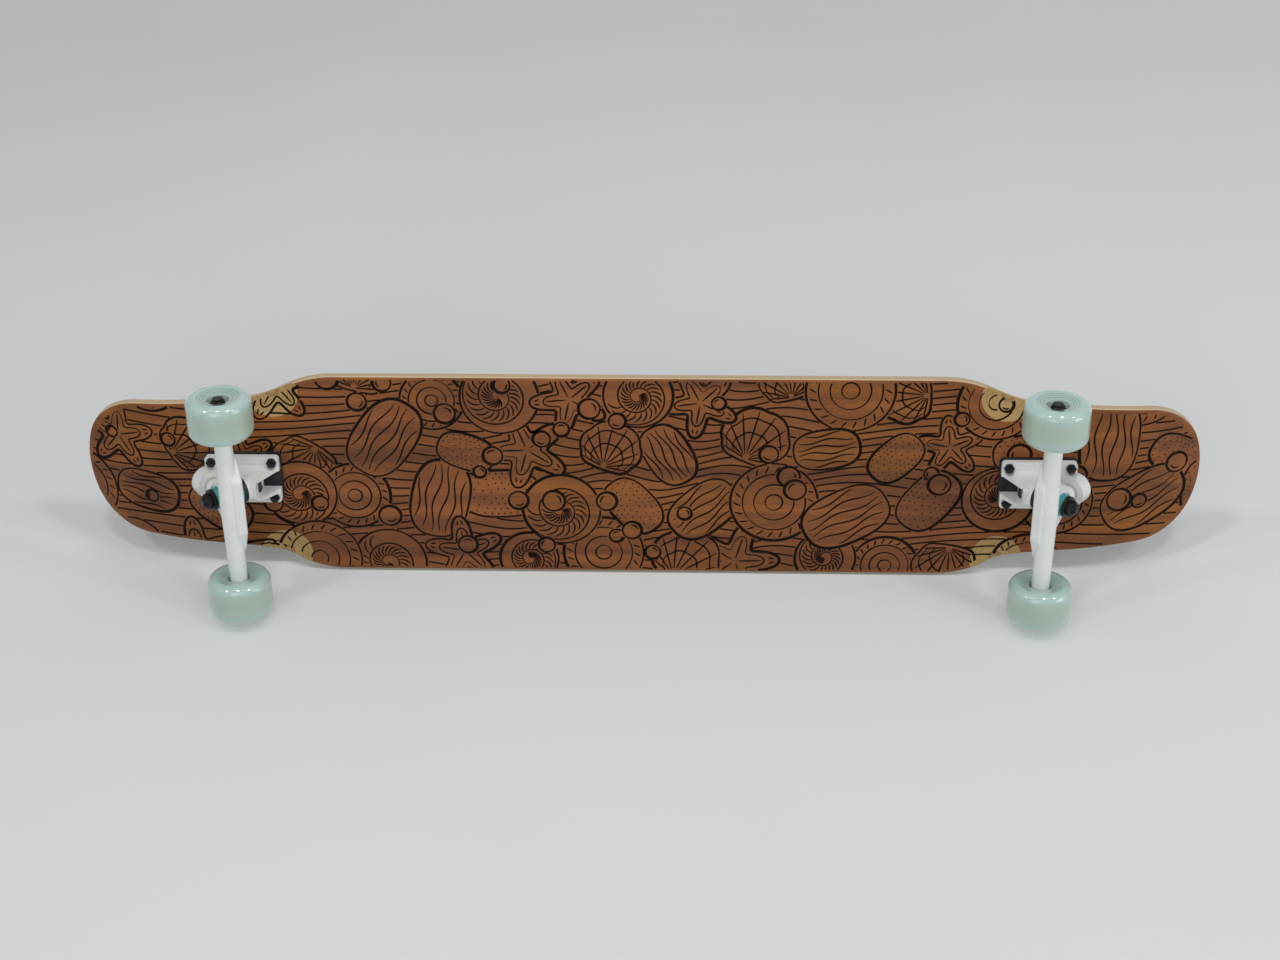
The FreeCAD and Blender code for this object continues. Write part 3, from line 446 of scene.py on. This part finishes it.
def ink_strips(lines, places):
    """Flat closed strips along the lines: four corners at each point, two on the ink's face and two sunk
    in the wood, joined to the next point by four sides, with a cap at each loose end."""
    points = np.concatenate([line for line, _, _ in lines])
    half = np.concatenate([width for _, width, _ in lines])[:, None]
    order = np.concatenate([np.full(len(line), rank) for line, _, rank in lines])
    stroke = np.concatenate([np.full(len(line), i) for i, (line, _, _) in enumerate(lines)])
    way = np.concatenate([np.gradient(line, axis=0) for line, _, _ in lines])
    way /= np.maximum(np.linalg.norm(way, axis=1, keepdims=True), 1e-9)
    aside = np.stack([-way[:, 1], way[:, 0]], axis=1) * half
    edges = np.stack([points + aside, points - aside] * 2, axis=1)
    height = underside_height(edges[..., 0], edges[..., 1]) + np.array([-INK_LIFT] * 2 + [INK_SINK] * 2)
    corners = np.concatenate([edges, height[..., None]], axis=2).reshape(-1, 3)
    shown = visible_points(points, order, places)
    joined = np.append(shown[:-1] & shown[1:] & (stroke[:-1] == stroke[1:]), False)
    near = 4 * np.flatnonzero(joined)[:, None]
    starts = 4 * np.flatnonzero(joined & ~np.roll(joined, 1))[:, None]
    ends = 4 * np.flatnonzero(~joined & np.roll(joined, 1))[:, None]
    sides = [near + np.array(turn) for turn in ((0, 4, 5, 1), (2, 3, 7, 6), (0, 2, 6, 4), (1, 5, 7, 3))]
    faces = np.concatenate(sides + [starts + np.array((0, 1, 3, 2)), ends + np.array((0, 2, 3, 1))])
    used, faces = np.unique(faces, return_inverse=True)
    return corners[used], faces.reshape(-1, 4)


def black_ink():
    """Near black, worn brown in small patches, with little gloss."""
    material, tree, sockets, place = new_finish("black_ink", Specular_IOR_Level=0.07)
    worn = spread(tree, noise(tree, place, INK_WEAR_WAVES, 4.0, 0.6), *INK_WEAR_CUT)
    tree.links.new(blend_colours(tree, worn, INK_BLACK, INK_WORN), sockets["Base Color"])
    tree.links.new(spread(tree, worn, 0.0, 1.0, *INK_ROUGHNESS), sockets["Roughness"])
    return material


def new_piece(name, points, faces, material, smooth):
    """A mesh object from arrays of points and faces."""
    mesh = bpy.data.meshes.new(name)
    mesh.from_pydata(points.tolist(), [], faces.tolist())
    mesh.polygons.foreach_set("use_smooth", np.full(len(faces), smooth))
    mesh.materials.append(material)
    piece = bpy.data.objects.new(name, mesh)
    bpy.context.scene.collection.objects.link(piece)
    return piece


ink_chance = np.random.default_rng(INK_SEED)
ink_places = motif_places(ink_chance)
ink_mesh = ink_strips(design_lines(ink_places, ink_chance), ink_places)
ink = new_piece("printed_design", *ink_mesh, black_ink(), False)
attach(ink, "deck_assembly")

# Grip tape: a film coated with black grit, stuck over the whole top and trimmed inside the rails.
# The heads of the mounting bolts come up through it.
GRIT_DARK = (0.010, 0.010, 0.011, 1)
GRIT_PAINTED_GLINT = (0.055, 0.055, 0.058, 1)
GRIT_WAVES = 1500.0
GRIT_DENT = 0.0004
GLINT_CUT = (0.80, 0.97)
GRIT_ROUGHNESS = (0.95, 0.5)


def grit_group():
    """Grains: a cell pattern gives each grain its own brightness, and the distance to its middle its
    dome."""
    tree, given, out = group("grit", {"Vector": "Vector", "Scale": "Float"},
                             {"Grain": "Float", "Dome": "Float"})
    cells = node(tree, "ShaderNodeTexVoronoi", {"Vector": given[0], "Scale": given[1]}).outputs
    tint = node(tree, "ShaderNodeSeparateColor", {0: cells["Color"]}).outputs[0]
    tree.links.new(tint, out["Grain"])
    tree.links.new(spread(tree, cells["Distance"], 0.0, 0.7, 1.0, 0.0), out["Dome"])
    return tree


grit = grit_group()


def grip_grit():
    """Black grains, a few of which are lighter as a painted glint and glossier, so they catch the light."""
    material, tree, sockets, place = new_finish("grip_grit", Specular_IOR_Level=0.35)
    grains = placed(tree, grit, Vector=place, Scale=GRIT_WAVES)
    glint = spread(tree, grains["Grain"], *GLINT_CUT)
    # Lighter colour on a few grains: painted glint; their lower roughness is real gloss.
    tree.links.new(blend_colours(tree, glint, GRIT_DARK, GRIT_PAINTED_GLINT), sockets["Base Color"])
    tree.links.new(spread(tree, glint, 0.0, 1.0, *GRIT_ROUGHNESS), sockets["Roughness"])
    dented(tree, sockets, grains["Dome"], GRIT_DENT)
    return material


paint(grip_grit(), "grip_tape")

# Riser pads: moulded black rubber between the deck and each baseplate, a little wider than its flange.
# They lift the trucks and soften the road, and the mounting bolts hold them.
ENDS = ("front", "rear")
RISER_BLACK = (0.014, 0.014, 0.015, 1)
RISER_DUST = (0.040, 0.039, 0.037, 1)
RISER_GRAIN_WAVES = 2600.0
RISER_BLOOM_WAVES = 90.0
RISER_DENT = 0.00005
RISER_BLOOM_CUT = (0.45, 0.75)
RISER_ROUGHNESS = (0.62, 0.85)


def black_riser():
    """Matt black with fine pits and a faint bloom."""
    material, tree, sockets, place = new_finish("black_riser", Specular_IOR_Level=0.3)
    grains = placed(tree, grit, Vector=place, Scale=RISER_GRAIN_WAVES)
    bloom = spread(tree, noise(tree, place, RISER_BLOOM_WAVES, 4.0), *RISER_BLOOM_CUT)
    tree.links.new(blend_colours(tree, bloom, RISER_BLACK, RISER_DUST), sockets["Base Color"])
    tree.links.new(spread(tree, bloom, 0.0, 1.0, *RISER_ROUGHNESS), sockets["Roughness"])
    dented(tree, sockets, grains["Dome"], RISER_DENT)
    return material


paint(black_riser(), *[end + "_riser_pad" for end in ENDS])

# Baseplates: cast aluminium under white powder coat, bolted under the deck. The coat flows a little
# before it sets, so it is glossy with a faint orange peel over the casting's grain.
COAT_WHITE = (0.80, 0.82, 0.81, 1)
COAT_SHADE = (0.74, 0.76, 0.75, 1)
COAT_PATCH_WAVES = 45.0
PEEL_WAVES = 620.0
PEEL_DENT = 0.00009
COAT_PATCH_CUT = (0.35, 0.7)
COAT_ROUGHNESS = (0.30, 0.42)


def white_casting():
    """White with slow faint patches, an orange peel of millimetre waves and gloss that comes and goes."""
    material, tree, sockets, place = new_finish("white_casting", Coat_Weight=0.3, Coat_Roughness=0.18)
    patch = spread(tree, noise(tree, place, COAT_PATCH_WAVES, 4.0, 0.6), *COAT_PATCH_CUT)
    tree.links.new(blend_colours(tree, patch, COAT_WHITE, COAT_SHADE), sockets["Base Color"])
    tree.links.new(spread(tree, patch, 0.0, 1.0, *COAT_ROUGHNESS), sockets["Roughness"])
    dented(tree, sockets, noise(tree, place, PEEL_WAVES, 2.0), PEEL_DENT, 0.6)
    return material


casting = white_casting()
paint(casting, *[end + "_baseplate" for end in ENDS])

# Pivot cups: natural nylon liners pressed into the baseplates' round bosses.
# The hangers' pivot nubs turn in them.
NYLON_PALE = (0.60, 0.60, 0.55, 1)
NYLON_SCUFF = (0.44, 0.43, 0.38, 1)
SCUFF_WAVES = 300.0
SCUFF_CUT = (0.55, 0.8)
NYLON_ROUGHNESS = (0.42, 0.7)


def natural_nylon():
    """Milky white with darker scuffs."""
    material, tree, sockets, place = new_finish("natural_nylon", Specular_IOR_Level=0.4)
    scuff = spread(tree, noise(tree, place, SCUFF_WAVES, 4.0, 0.65), *SCUFF_CUT)
    tree.links.new(blend_colours(tree, scuff, NYLON_PALE, NYLON_SCUFF), sockets["Base Color"])
    tree.links.new(spread(tree, scuff, 0.0, 1.0, *NYLON_ROUGHNESS), sockets["Roughness"])
    return material


nylon = natural_nylon()
paint(nylon, *[end + "_pivot_cup" for end in ENDS])

# Kingpins, their locknuts and cup washers: steel with a black oxide finish, which stays a little glossy
# and shows the bare metal faintly where tools have touched it.
OXIDE_BLACK = (0.009, 0.009, 0.010, 1)
OXIDE_RUBBED = (0.050, 0.049, 0.049, 1)
RUBBED_WAVES = 520.0
OXIDE_DENT_WAVES = 1800.0
OXIDE_DENT = 0.00004
RUBBED_CUT = (0.56, 0.78)
OXIDE_METALLIC = (0.15, 0.7)
OXIDE_ROUGHNESS = (0.36, 0.5)


def black_steel():
    """Black oxide, rubbed thin in small patches."""
    material, tree, sockets, place = new_finish("black_steel", Specular_IOR_Level=0.42)
    rubbed = spread(tree, noise(tree, place, RUBBED_WAVES, 5.0, 0.65), *RUBBED_CUT)
    tree.links.new(blend_colours(tree, rubbed, OXIDE_BLACK, OXIDE_RUBBED), sockets["Base Color"])
    tree.links.new(spread(tree, rubbed, 0.0, 1.0, *OXIDE_METALLIC), sockets["Metallic"])
    tree.links.new(spread(tree, rubbed, 0.0, 1.0, *OXIDE_ROUGHNESS), sockets["Roughness"])
    dented(tree, sockets, noise(tree, place, OXIDE_DENT_WAVES, 2.0), OXIDE_DENT)
    return material


blackened = black_steel()
KINGPIN_PIECES = ("kingpin", "kingpin_nut", "boardside_washer", "roadside_washer")
paint(blackened, *[end + "_" + piece for end in ENDS for piece in KINGPIN_PIECES])

# Hangers: cast aluminium arms that carry the axles, in the same white coat as the baseplates.
# Each turns on its pivot nub and on a ring that the bushings hold.
paint(casting, *[end + "_hanger" for end in ENDS])

# Axles: blackened steel rods through the hangers. Their washers, spacers and ball bearings are of bright
# ground steel, behind blackened shields and under black locknuts.
SIDES = ("left", "right")
STEEL_BRIGHT = (0.52, 0.52, 0.53, 1)
STEEL_DULL = (0.34, 0.34, 0.35, 1)
GROUND_RING_WAVES = (60.0, 5200.0, 60.0)
STEEL_PATCH_WAVES = 260.0
STEEL_DENT = 0.00002
STEEL_RING_CUT = (0.3, 0.7)
STEEL_ROUGHNESS = (0.18, 0.36)


def bright_steel():
    """Ground steel: fine rings round the axle and a slow change of gloss."""
    material, tree, sockets, place = new_finish("bright_steel", Metallic=1.0)
    rings = noise(tree, stretched(tree, place, GROUND_RING_WAVES), 1.0, 2.0)
    patch = noise(tree, place, STEEL_PATCH_WAVES, 3.0)
    tree.links.new(blend_colours(tree, patch, STEEL_BRIGHT, STEEL_DULL), sockets["Base Color"])
    tree.links.new(spread(tree, rings, *STEEL_RING_CUT, *STEEL_ROUGHNESS), sockets["Roughness"])
    dented(tree, sockets, rings, STEEL_DENT)
    return material


polished = bright_steel()
paint(blackened, *[end + "_axle" for end in ENDS])
AXLE_STEEL = ("_axle_washers", "_bearing_spacers", "_bearing_inner_races")
paint(polished, *[end + piece for end in ENDS for piece in AXLE_STEEL])
WHEELS = [end + "_" + side for end in ENDS for side in SIDES]
ROLLING_STEEL = ("_bearing_outer_races", "_bearing_balls")
paint(polished, *[wheel + piece for wheel in WHEELS for piece in ROLLING_STEEL])
paint(blackened, *[wheel + "_bearing_shields" for wheel in WHEELS])
paint(nylon, *[wheel + "_bearing_cages" for wheel in WHEELS])
paint(blackened, *[end + "_axle_nuts" for end in ENDS])

# Wheels: cast urethane, pale mint and milky, with a ground tread and glossy moulded lips and faces.
# Each tyre is cast round a core that holds its two bearings.
WHEEL_LOW, WHEEL_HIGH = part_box("front_left_tyre")
WHEEL_CENTRE = (WHEEL_LOW + WHEEL_HIGH) / 2
WHEEL_HALF_WIDTH = WHEEL_HIGH.y - WHEEL_CENTRE.y
MINT_CLEAR = (0.80, 0.82, 0.74, 1)
FACE_RINGS = (0.0150, 0.0177, 0.0204)
FACE_RING_HALF_WIDTH = 0.00028
FACE_RING_GREY = (0.10, 0.135, 0.135, 1)
MINT_TREAD = (0.42, 0.512, 0.437, 1)
# Bluer colour towards the lips: painted reflection.
MINT_LIP_PAINTED_REFLECTION = (0.41, 0.555, 0.535, 1)
MINT_CLOUD_WAVES = 60.0
LIP_START_SHARE = 0.25
LIP_GLOSS_CUT = (0.3, 0.9)
LIP_ROUGHNESS = (0.42, 0.11)


def partly_clear(tree, share, tint):
    """Mixes a material's shader with a plain see-through one."""
    output = next(n for n in tree.nodes if n.type == "OUTPUT_MATERIAL")
    shader = output.inputs[0].links[0].from_socket
    clear = node(tree, "ShaderNodeBsdfTransparent", {"Color": tint}).outputs[0]
    mixed = node(tree, "ShaderNodeMixShader", {0: share, 1: shader, 2: clear}).outputs[0]
    tree.links.new(mixed, output.inputs[0])


def mint_urethane():
    """Milky mint: greener and duller on the tread, glossier towards both lips and bluer there as a painted
    reflection, with thin grey rings on the outer face at set distances from the axle. Lamplight passes
    through, tinted."""
    material, tree, sockets, place = new_finish("mint_urethane", Subsurface_Weight=0.9,
                                                Subsurface_Scale=0.028,
                                                Subsurface_Radius=(0.85, 1.0, 0.95),
                                                Coat_Weight=1.0, Coat_Roughness=0.05)
    folded = node(tree, "ShaderNodeVectorMath", {0: place}, operation="ABSOLUTE").outputs[0]
    ends = {0: folded, 1: WHEEL_CENTRE}
    offset = node(tree, "ShaderNodeVectorMath", ends, operation="SUBTRACT").outputs[0]
    off = node(tree, "ShaderNodeSeparateXYZ", {0: offset}).outputs
    out = calc(tree, "ABSOLUTE", off["Y"])
    radius = calc(tree, "SQRT", calc(tree, "ADD", calc(tree, "MULTIPLY", off["X"], off["X"]),
                                     calc(tree, "MULTIPLY", off["Z"], off["Z"])))
    lip = spread(tree, out, LIP_START_SHARE * WHEEL_HALF_WIDTH, WHEEL_HALF_WIDTH)
    cloud = noise(tree, place, MINT_CLOUD_WAVES, 3.0)
    tint = calc(tree, "ADD", lip, calc(tree, "MULTIPLY", calc(tree, "SUBTRACT", cloud, 0.5), 0.5))
    # Bluer colour towards the lips is painted reflection; their lower roughness below is real gloss.
    colour = blend_colours(tree, tint, MINT_TREAD, MINT_LIP_PAINTED_REFLECTION)
    for ring in FACE_RINGS:
        aside = calc(tree, "ABSOLUTE", calc(tree, "SUBTRACT", radius, ring))
        line = spread(tree, aside, 0.6 * FACE_RING_HALF_WIDTH, 1.4 * FACE_RING_HALF_WIDTH, 0.7, 0.0)
        line = calc(tree, "MULTIPLY", line, calc(tree, "GREATER_THAN", off["Y"], 0.0))
        colour = blend_colours(tree, line, colour, FACE_RING_GREY)
    tree.links.new(colour, sockets["Base Color"])
    tree.links.new(spread(tree, lip, *LIP_GLOSS_CUT, *LIP_ROUGHNESS), sockets["Roughness"])
    partly_clear(tree, node(tree, "ShaderNodeLightPath").outputs["Is Shadow Ray"], MINT_CLEAR)
    return material


mint = mint_urethane()
paint(mint, *[wheel + piece for wheel in WHEELS for piece in ("_tyre", "_wheel_core")])

# Mounting bolts and nuts: blackened steel, four to a truck, with the nuts under the baseplates.
# The countersunk heads are flush with the grip.
paint(blackened, "mounting_bolts", "mounting_nuts")

# Bushings: cast urethane rings, teal and slightly clear, squeezed between the cup washers and the
# hanger's ring so that their sides bulge.
TEAL = (0.06, 0.42, 0.41, 1)
TEAL_DEEP = (0.03, 0.28, 0.28, 1)
STEER = radians(50)
KINGPIN_WAY = Vector((sin(STEER), 0, -cos(STEER)))
SEAT = Vector((0.4103, 0, DECK_BOTTOM - 0.034))
BUSHING_BORE = 0.005
BUSHING_CORNER = 9.0
BUSHING_BULGE = 0.0009
BUSHING_TURNS = 72
BUSHING_STEPS = 64
TEAL_CLOUD_WAVES = 140.0
TEAL_GLOSS_CUT = (0.3, 0.7)
TEAL_ROUGHNESS = (0.28, 0.42)
BUSHINGS = {
    "boardside": {"from_deck": 0.002, "to_ring": 0.017, "deck_radius": 0.0119, "ring_radius": 0.0119},
    "roadside": {"from_deck": 0.0354, "to_ring": 0.023, "deck_radius": 0.0094, "ring_radius": 0.0119},
}


def turned_bushing(from_deck, to_ring, deck_radius, ring_radius):
    """A superellipse section, from the bore to a side that slants and bulges, turned round the kingpin."""
    around = np.linspace(0, 2 * pi, BUSHING_TURNS, endpoint=False)
    section = np.linspace(0, 2 * pi, BUSHING_STEPS, endpoint=False)
    out = np.sign(np.cos(section)) * np.abs(np.cos(section)) ** (2 / BUSHING_CORNER)
    along = np.sign(np.sin(section)) * np.abs(np.sin(section)) ** (2 / BUSHING_CORNER)
    share = (along + 1) / 2
    outer = deck_radius + (ring_radius - deck_radius) * share + BUSHING_BULGE * (1 - along ** 2)
    radius = BUSHING_BORE + (outer - BUSHING_BORE) * (out + 1) / 2
    height = from_deck + (to_ring - from_deck) * share
    across = np.array([0, 1, 0])
    slope = np.array([cos(STEER), 0, sin(STEER)])
    round_it = np.cos(around)[:, None, None] * across + np.sin(around)[:, None, None] * slope
    points = np.array(SEAT) + radius[:, None] * round_it + height[:, None] * np.array(KINGPIN_WAY)
    i, j = np.meshgrid(np.arange(BUSHING_TURNS), np.arange(BUSHING_STEPS), indexing="ij")
    corner = [(i + a) % BUSHING_TURNS * BUSHING_STEPS + (j + b) % BUSHING_STEPS
              for a, b in ((0, 0), (1, 0), (1, 1), (0, 1))]
    faces = np.stack(corner, axis=-1).reshape(-1, 4)
    return points.reshape(-1, 3), faces if to_ring < from_deck else faces[:, ::-1]


def teal_urethane():
    """Teal with slow clouds of deeper colour and a satin skin."""
    material, tree, sockets, place = new_finish("teal_urethane", Coat_Weight=0.2, Subsurface_Weight=0.25,
                                                Subsurface_Scale=0.004, Subsurface_Radius=(0.2, 1.0, 1.0))
    cloud = noise(tree, place, TEAL_CLOUD_WAVES, 3.0)
    tree.links.new(blend_colours(tree, cloud, TEAL, TEAL_DEEP), sockets["Base Color"])
    tree.links.new(spread(tree, cloud, *TEAL_GLOSS_CUT, *TEAL_ROUGHNESS), sockets["Roughness"])
    return material


teal = teal_urethane()
for end, way in zip(ENDS, (1, -1)):
    for place, sizes in BUSHINGS.items():
        points, faces = turned_bushing(**sizes)
        bushing = new_piece(end + "_" + place + "_squeezed_bushing", points * (way, way, 1), faces, teal,
                            True)
        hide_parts(end + "_" + place + "_bushing")
        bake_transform(bushing)

# Sweep: a sheet of pale paper that the board stands on, long edge down and leaning back.
# It is flat under the board and curves up behind it.
LEAN = radians(11.0)
UP = Vector((0, -cos(LEAN), -sin(LEAN)))
BACK = Vector((0, -sin(LEAN), cos(LEAN)))
REST_LINE = Vector((0, 0.1150, DECK_BOTTOM + 0.005))
FLOOR_GAP = 0.0015
SWEEP_FRONT = 2.6
SWEEP_FLAT = 0.16
SWEEP_RADIUS = 0.9
SWEEP_WALL = 1.8
SWEEP_HALF_WIDTH = 3.2
SWEEP_STEPS = 25
PAPER_PAINTED_SHADE_HEIGHT = 0.25
PAPER_CLOUD_WAVES = 3.0
PAPER_CLOUD_CUT = (0.3, 0.7)
PAPER_CLOUD_SHARES = (-0.05, 0.05)
PAPER_FLOOR = (0.745, 0.758, 0.762, 1)
# Darker colour of the paper up the wall: painted shade.
PAPER_WALL_PAINTED_SHADE = (0.606, 0.611, 0.588, 1)


def sweep():
    """A profile of a flat, a quarter arc and a wall, carried straight along X."""
    turn = np.linspace(0, pi / 2, SWEEP_STEPS)
    arc = SWEEP_FLAT + SWEEP_RADIUS * np.sin(turn)
    out = np.concatenate([[-SWEEP_FRONT], arc, [SWEEP_FLAT + SWEEP_RADIUS]])
    up = np.concatenate([[0], SWEEP_RADIUS * (1 - np.cos(turn)), [SWEEP_RADIUS + SWEEP_WALL]])
    base = np.array(REST_LINE) - FLOOR_GAP * np.array(UP)
    line = base + out[:, None] * np.array(BACK) + up[:, None] * np.array(UP)
    ends = np.array([[-SWEEP_HALF_WIDTH, 0, 0], [SWEEP_HALF_WIDTH, 0, 0]])
    points = (line[:, None] + ends[None]).reshape(-1, 3)
    first = 2 * np.arange(len(line) - 1)
    return points, np.stack([first, first + 1, first + 3, first + 2], axis=1)


def paper():
    """Pale matt paper that is seen from its front only, cooler underfoot and darker up the wall as painted
    shade.
    """
    material, tree, sockets, place = new_finish("paper", Roughness=0.9, Specular_IOR_Level=0.1)
    height = node(tree, "ShaderNodeVectorMath", {0: place, 1: UP}, operation="DOT_PRODUCT").outputs["Value"]
    above = calc(tree, "SUBTRACT", height, REST_LINE.dot(UP))
    cloud = spread(tree, noise(tree, place, PAPER_CLOUD_WAVES), *PAPER_CLOUD_CUT, *PAPER_CLOUD_SHARES)
    # Painted shade: the colour darkens over a height up the wall; the clouds are random tone.
    clouds_and_painted_shade = calc(tree, "ADD", spread(tree, above, 0.0, PAPER_PAINTED_SHADE_HEIGHT), cloud)
    tree.links.new(blend_colours(tree, clouds_and_painted_shade, PAPER_FLOOR, PAPER_WALL_PAINTED_SHADE), sockets["Base Color"])
    partly_clear(tree, node(tree, "ShaderNodeNewGeometry").outputs["Backfacing"], (1, 1, 1, 1))
    return material


backdrop = new_piece("sweep", *sweep(), paper(), True)

# Light: a pale room, a row of small lamps overhead under a bright ceiling, a broad soft one beside
# the camera and one far to the right, as from a window, which grazes the board.
world = bpy.data.worlds.new("room")
bpy.context.scene.world = world
world.use_nodes = True
world.node_tree.nodes.clear()
ROOM_LIGHT = 0.34
ROOM_COLOUR = (0.97, 1.0, 1.0, 1)
ROOM_SEEN = (0.60, 0.605, 0.60, 1)
ray = node(world.node_tree, "ShaderNodeLightPath").outputs
seen = calc(world.node_tree, "MAXIMUM", ray["Is Camera Ray"],
            calc(world.node_tree, "MAXIMUM", ray["Is Glossy Ray"], ray["Is Transmission Ray"]))
lit = {"Color": ROOM_COLOUR, "Strength": ROOM_LIGHT}
lit = node(world.node_tree, "ShaderNodeBackground", lit).outputs[0]
shown = {"Color": ROOM_SEEN, "Strength": 1.0}
shown = node(world.node_tree, "ShaderNodeBackground", shown).outputs[0]
mixed = node(world.node_tree, "ShaderNodeMixShader", {0: seen, 1: lit, 2: shown}).outputs[0]
node(world.node_tree, "ShaderNodeOutputWorld", {"Surface": mixed})
OVERHEAD = 1.9
OVERHEAD_ROW = (-1.5, -0.4, 0.7, 1.8)
LAMPS = {"overhead_" + str(count): (Vector((x, 0, 0)) + UP * OVERHEAD - BACK * 0.45, (0.24, 0.24), 5.6)
         for count, x in enumerate(OVERHEAD_ROW, 1)}
LAMPS |= {
    "ceiling": (UP * (OVERHEAD + 0.2) + BACK * 0.15, (2.2, 1.6), 3.0),
    "beside_camera": (Vector((-0.5, 0, 0)) + UP * 1.1 - BACK * 1.8, (1.1, 1.1), 7.0),
    "right_window": (Vector((2.2, 0, 0)) + UP * 0.50 - BACK * 0.75, (0.9, 0.9), 8.0),
}
for name, (place, size, power) in LAMPS.items():
    lamp = bpy.data.lights.new(name, "AREA")
    lamp.shape = "RECTANGLE"
    lamp.size, lamp.size_y = size
    lamp.energy = power
    holder = bpy.data.objects.new(name, lamp)
    holder.location = place
    holder.rotation_euler = (Vector((0, 0, DECK_BOTTOM)) - place).to_track_quat("-Z", "Y").to_euler()
    bpy.context.scene.collection.objects.link(holder)

# Camera: above the board's upper edge, looking down at the underside, as the photograph was taken.
# Its place, turn and lens were fitted to the mounting nuts and the wheels.
LENS = 56.25
SENSOR = 36.0
CAMERA_PLACE = Vector((0.0728, -0.9814, DECK_BOTTOM - 1.8487))
CAMERA_TURN = Matrix.Rotation(radians(28.1), 3, Vector((28.03, 2.02, -0.04)).normalized())
view = bpy.data.cameras.new("photograph")
view.lens = LENS
view.sensor_width = SENSOR
viewer = bpy.data.objects.new("photograph", view)
axes = Matrix([CAMERA_TURN[0], -CAMERA_TURN[1], -CAMERA_TURN[2]]).transposed()
viewer.matrix_world = Matrix.Translation(CAMERA_PLACE) @ axes.to_4x4()
bpy.context.scene.collection.objects.link(viewer)
bpy.context.scene.camera = viewer
bpy.context.scene.view_settings.view_transform = "Standard"

bpy.context.view_layer.update()
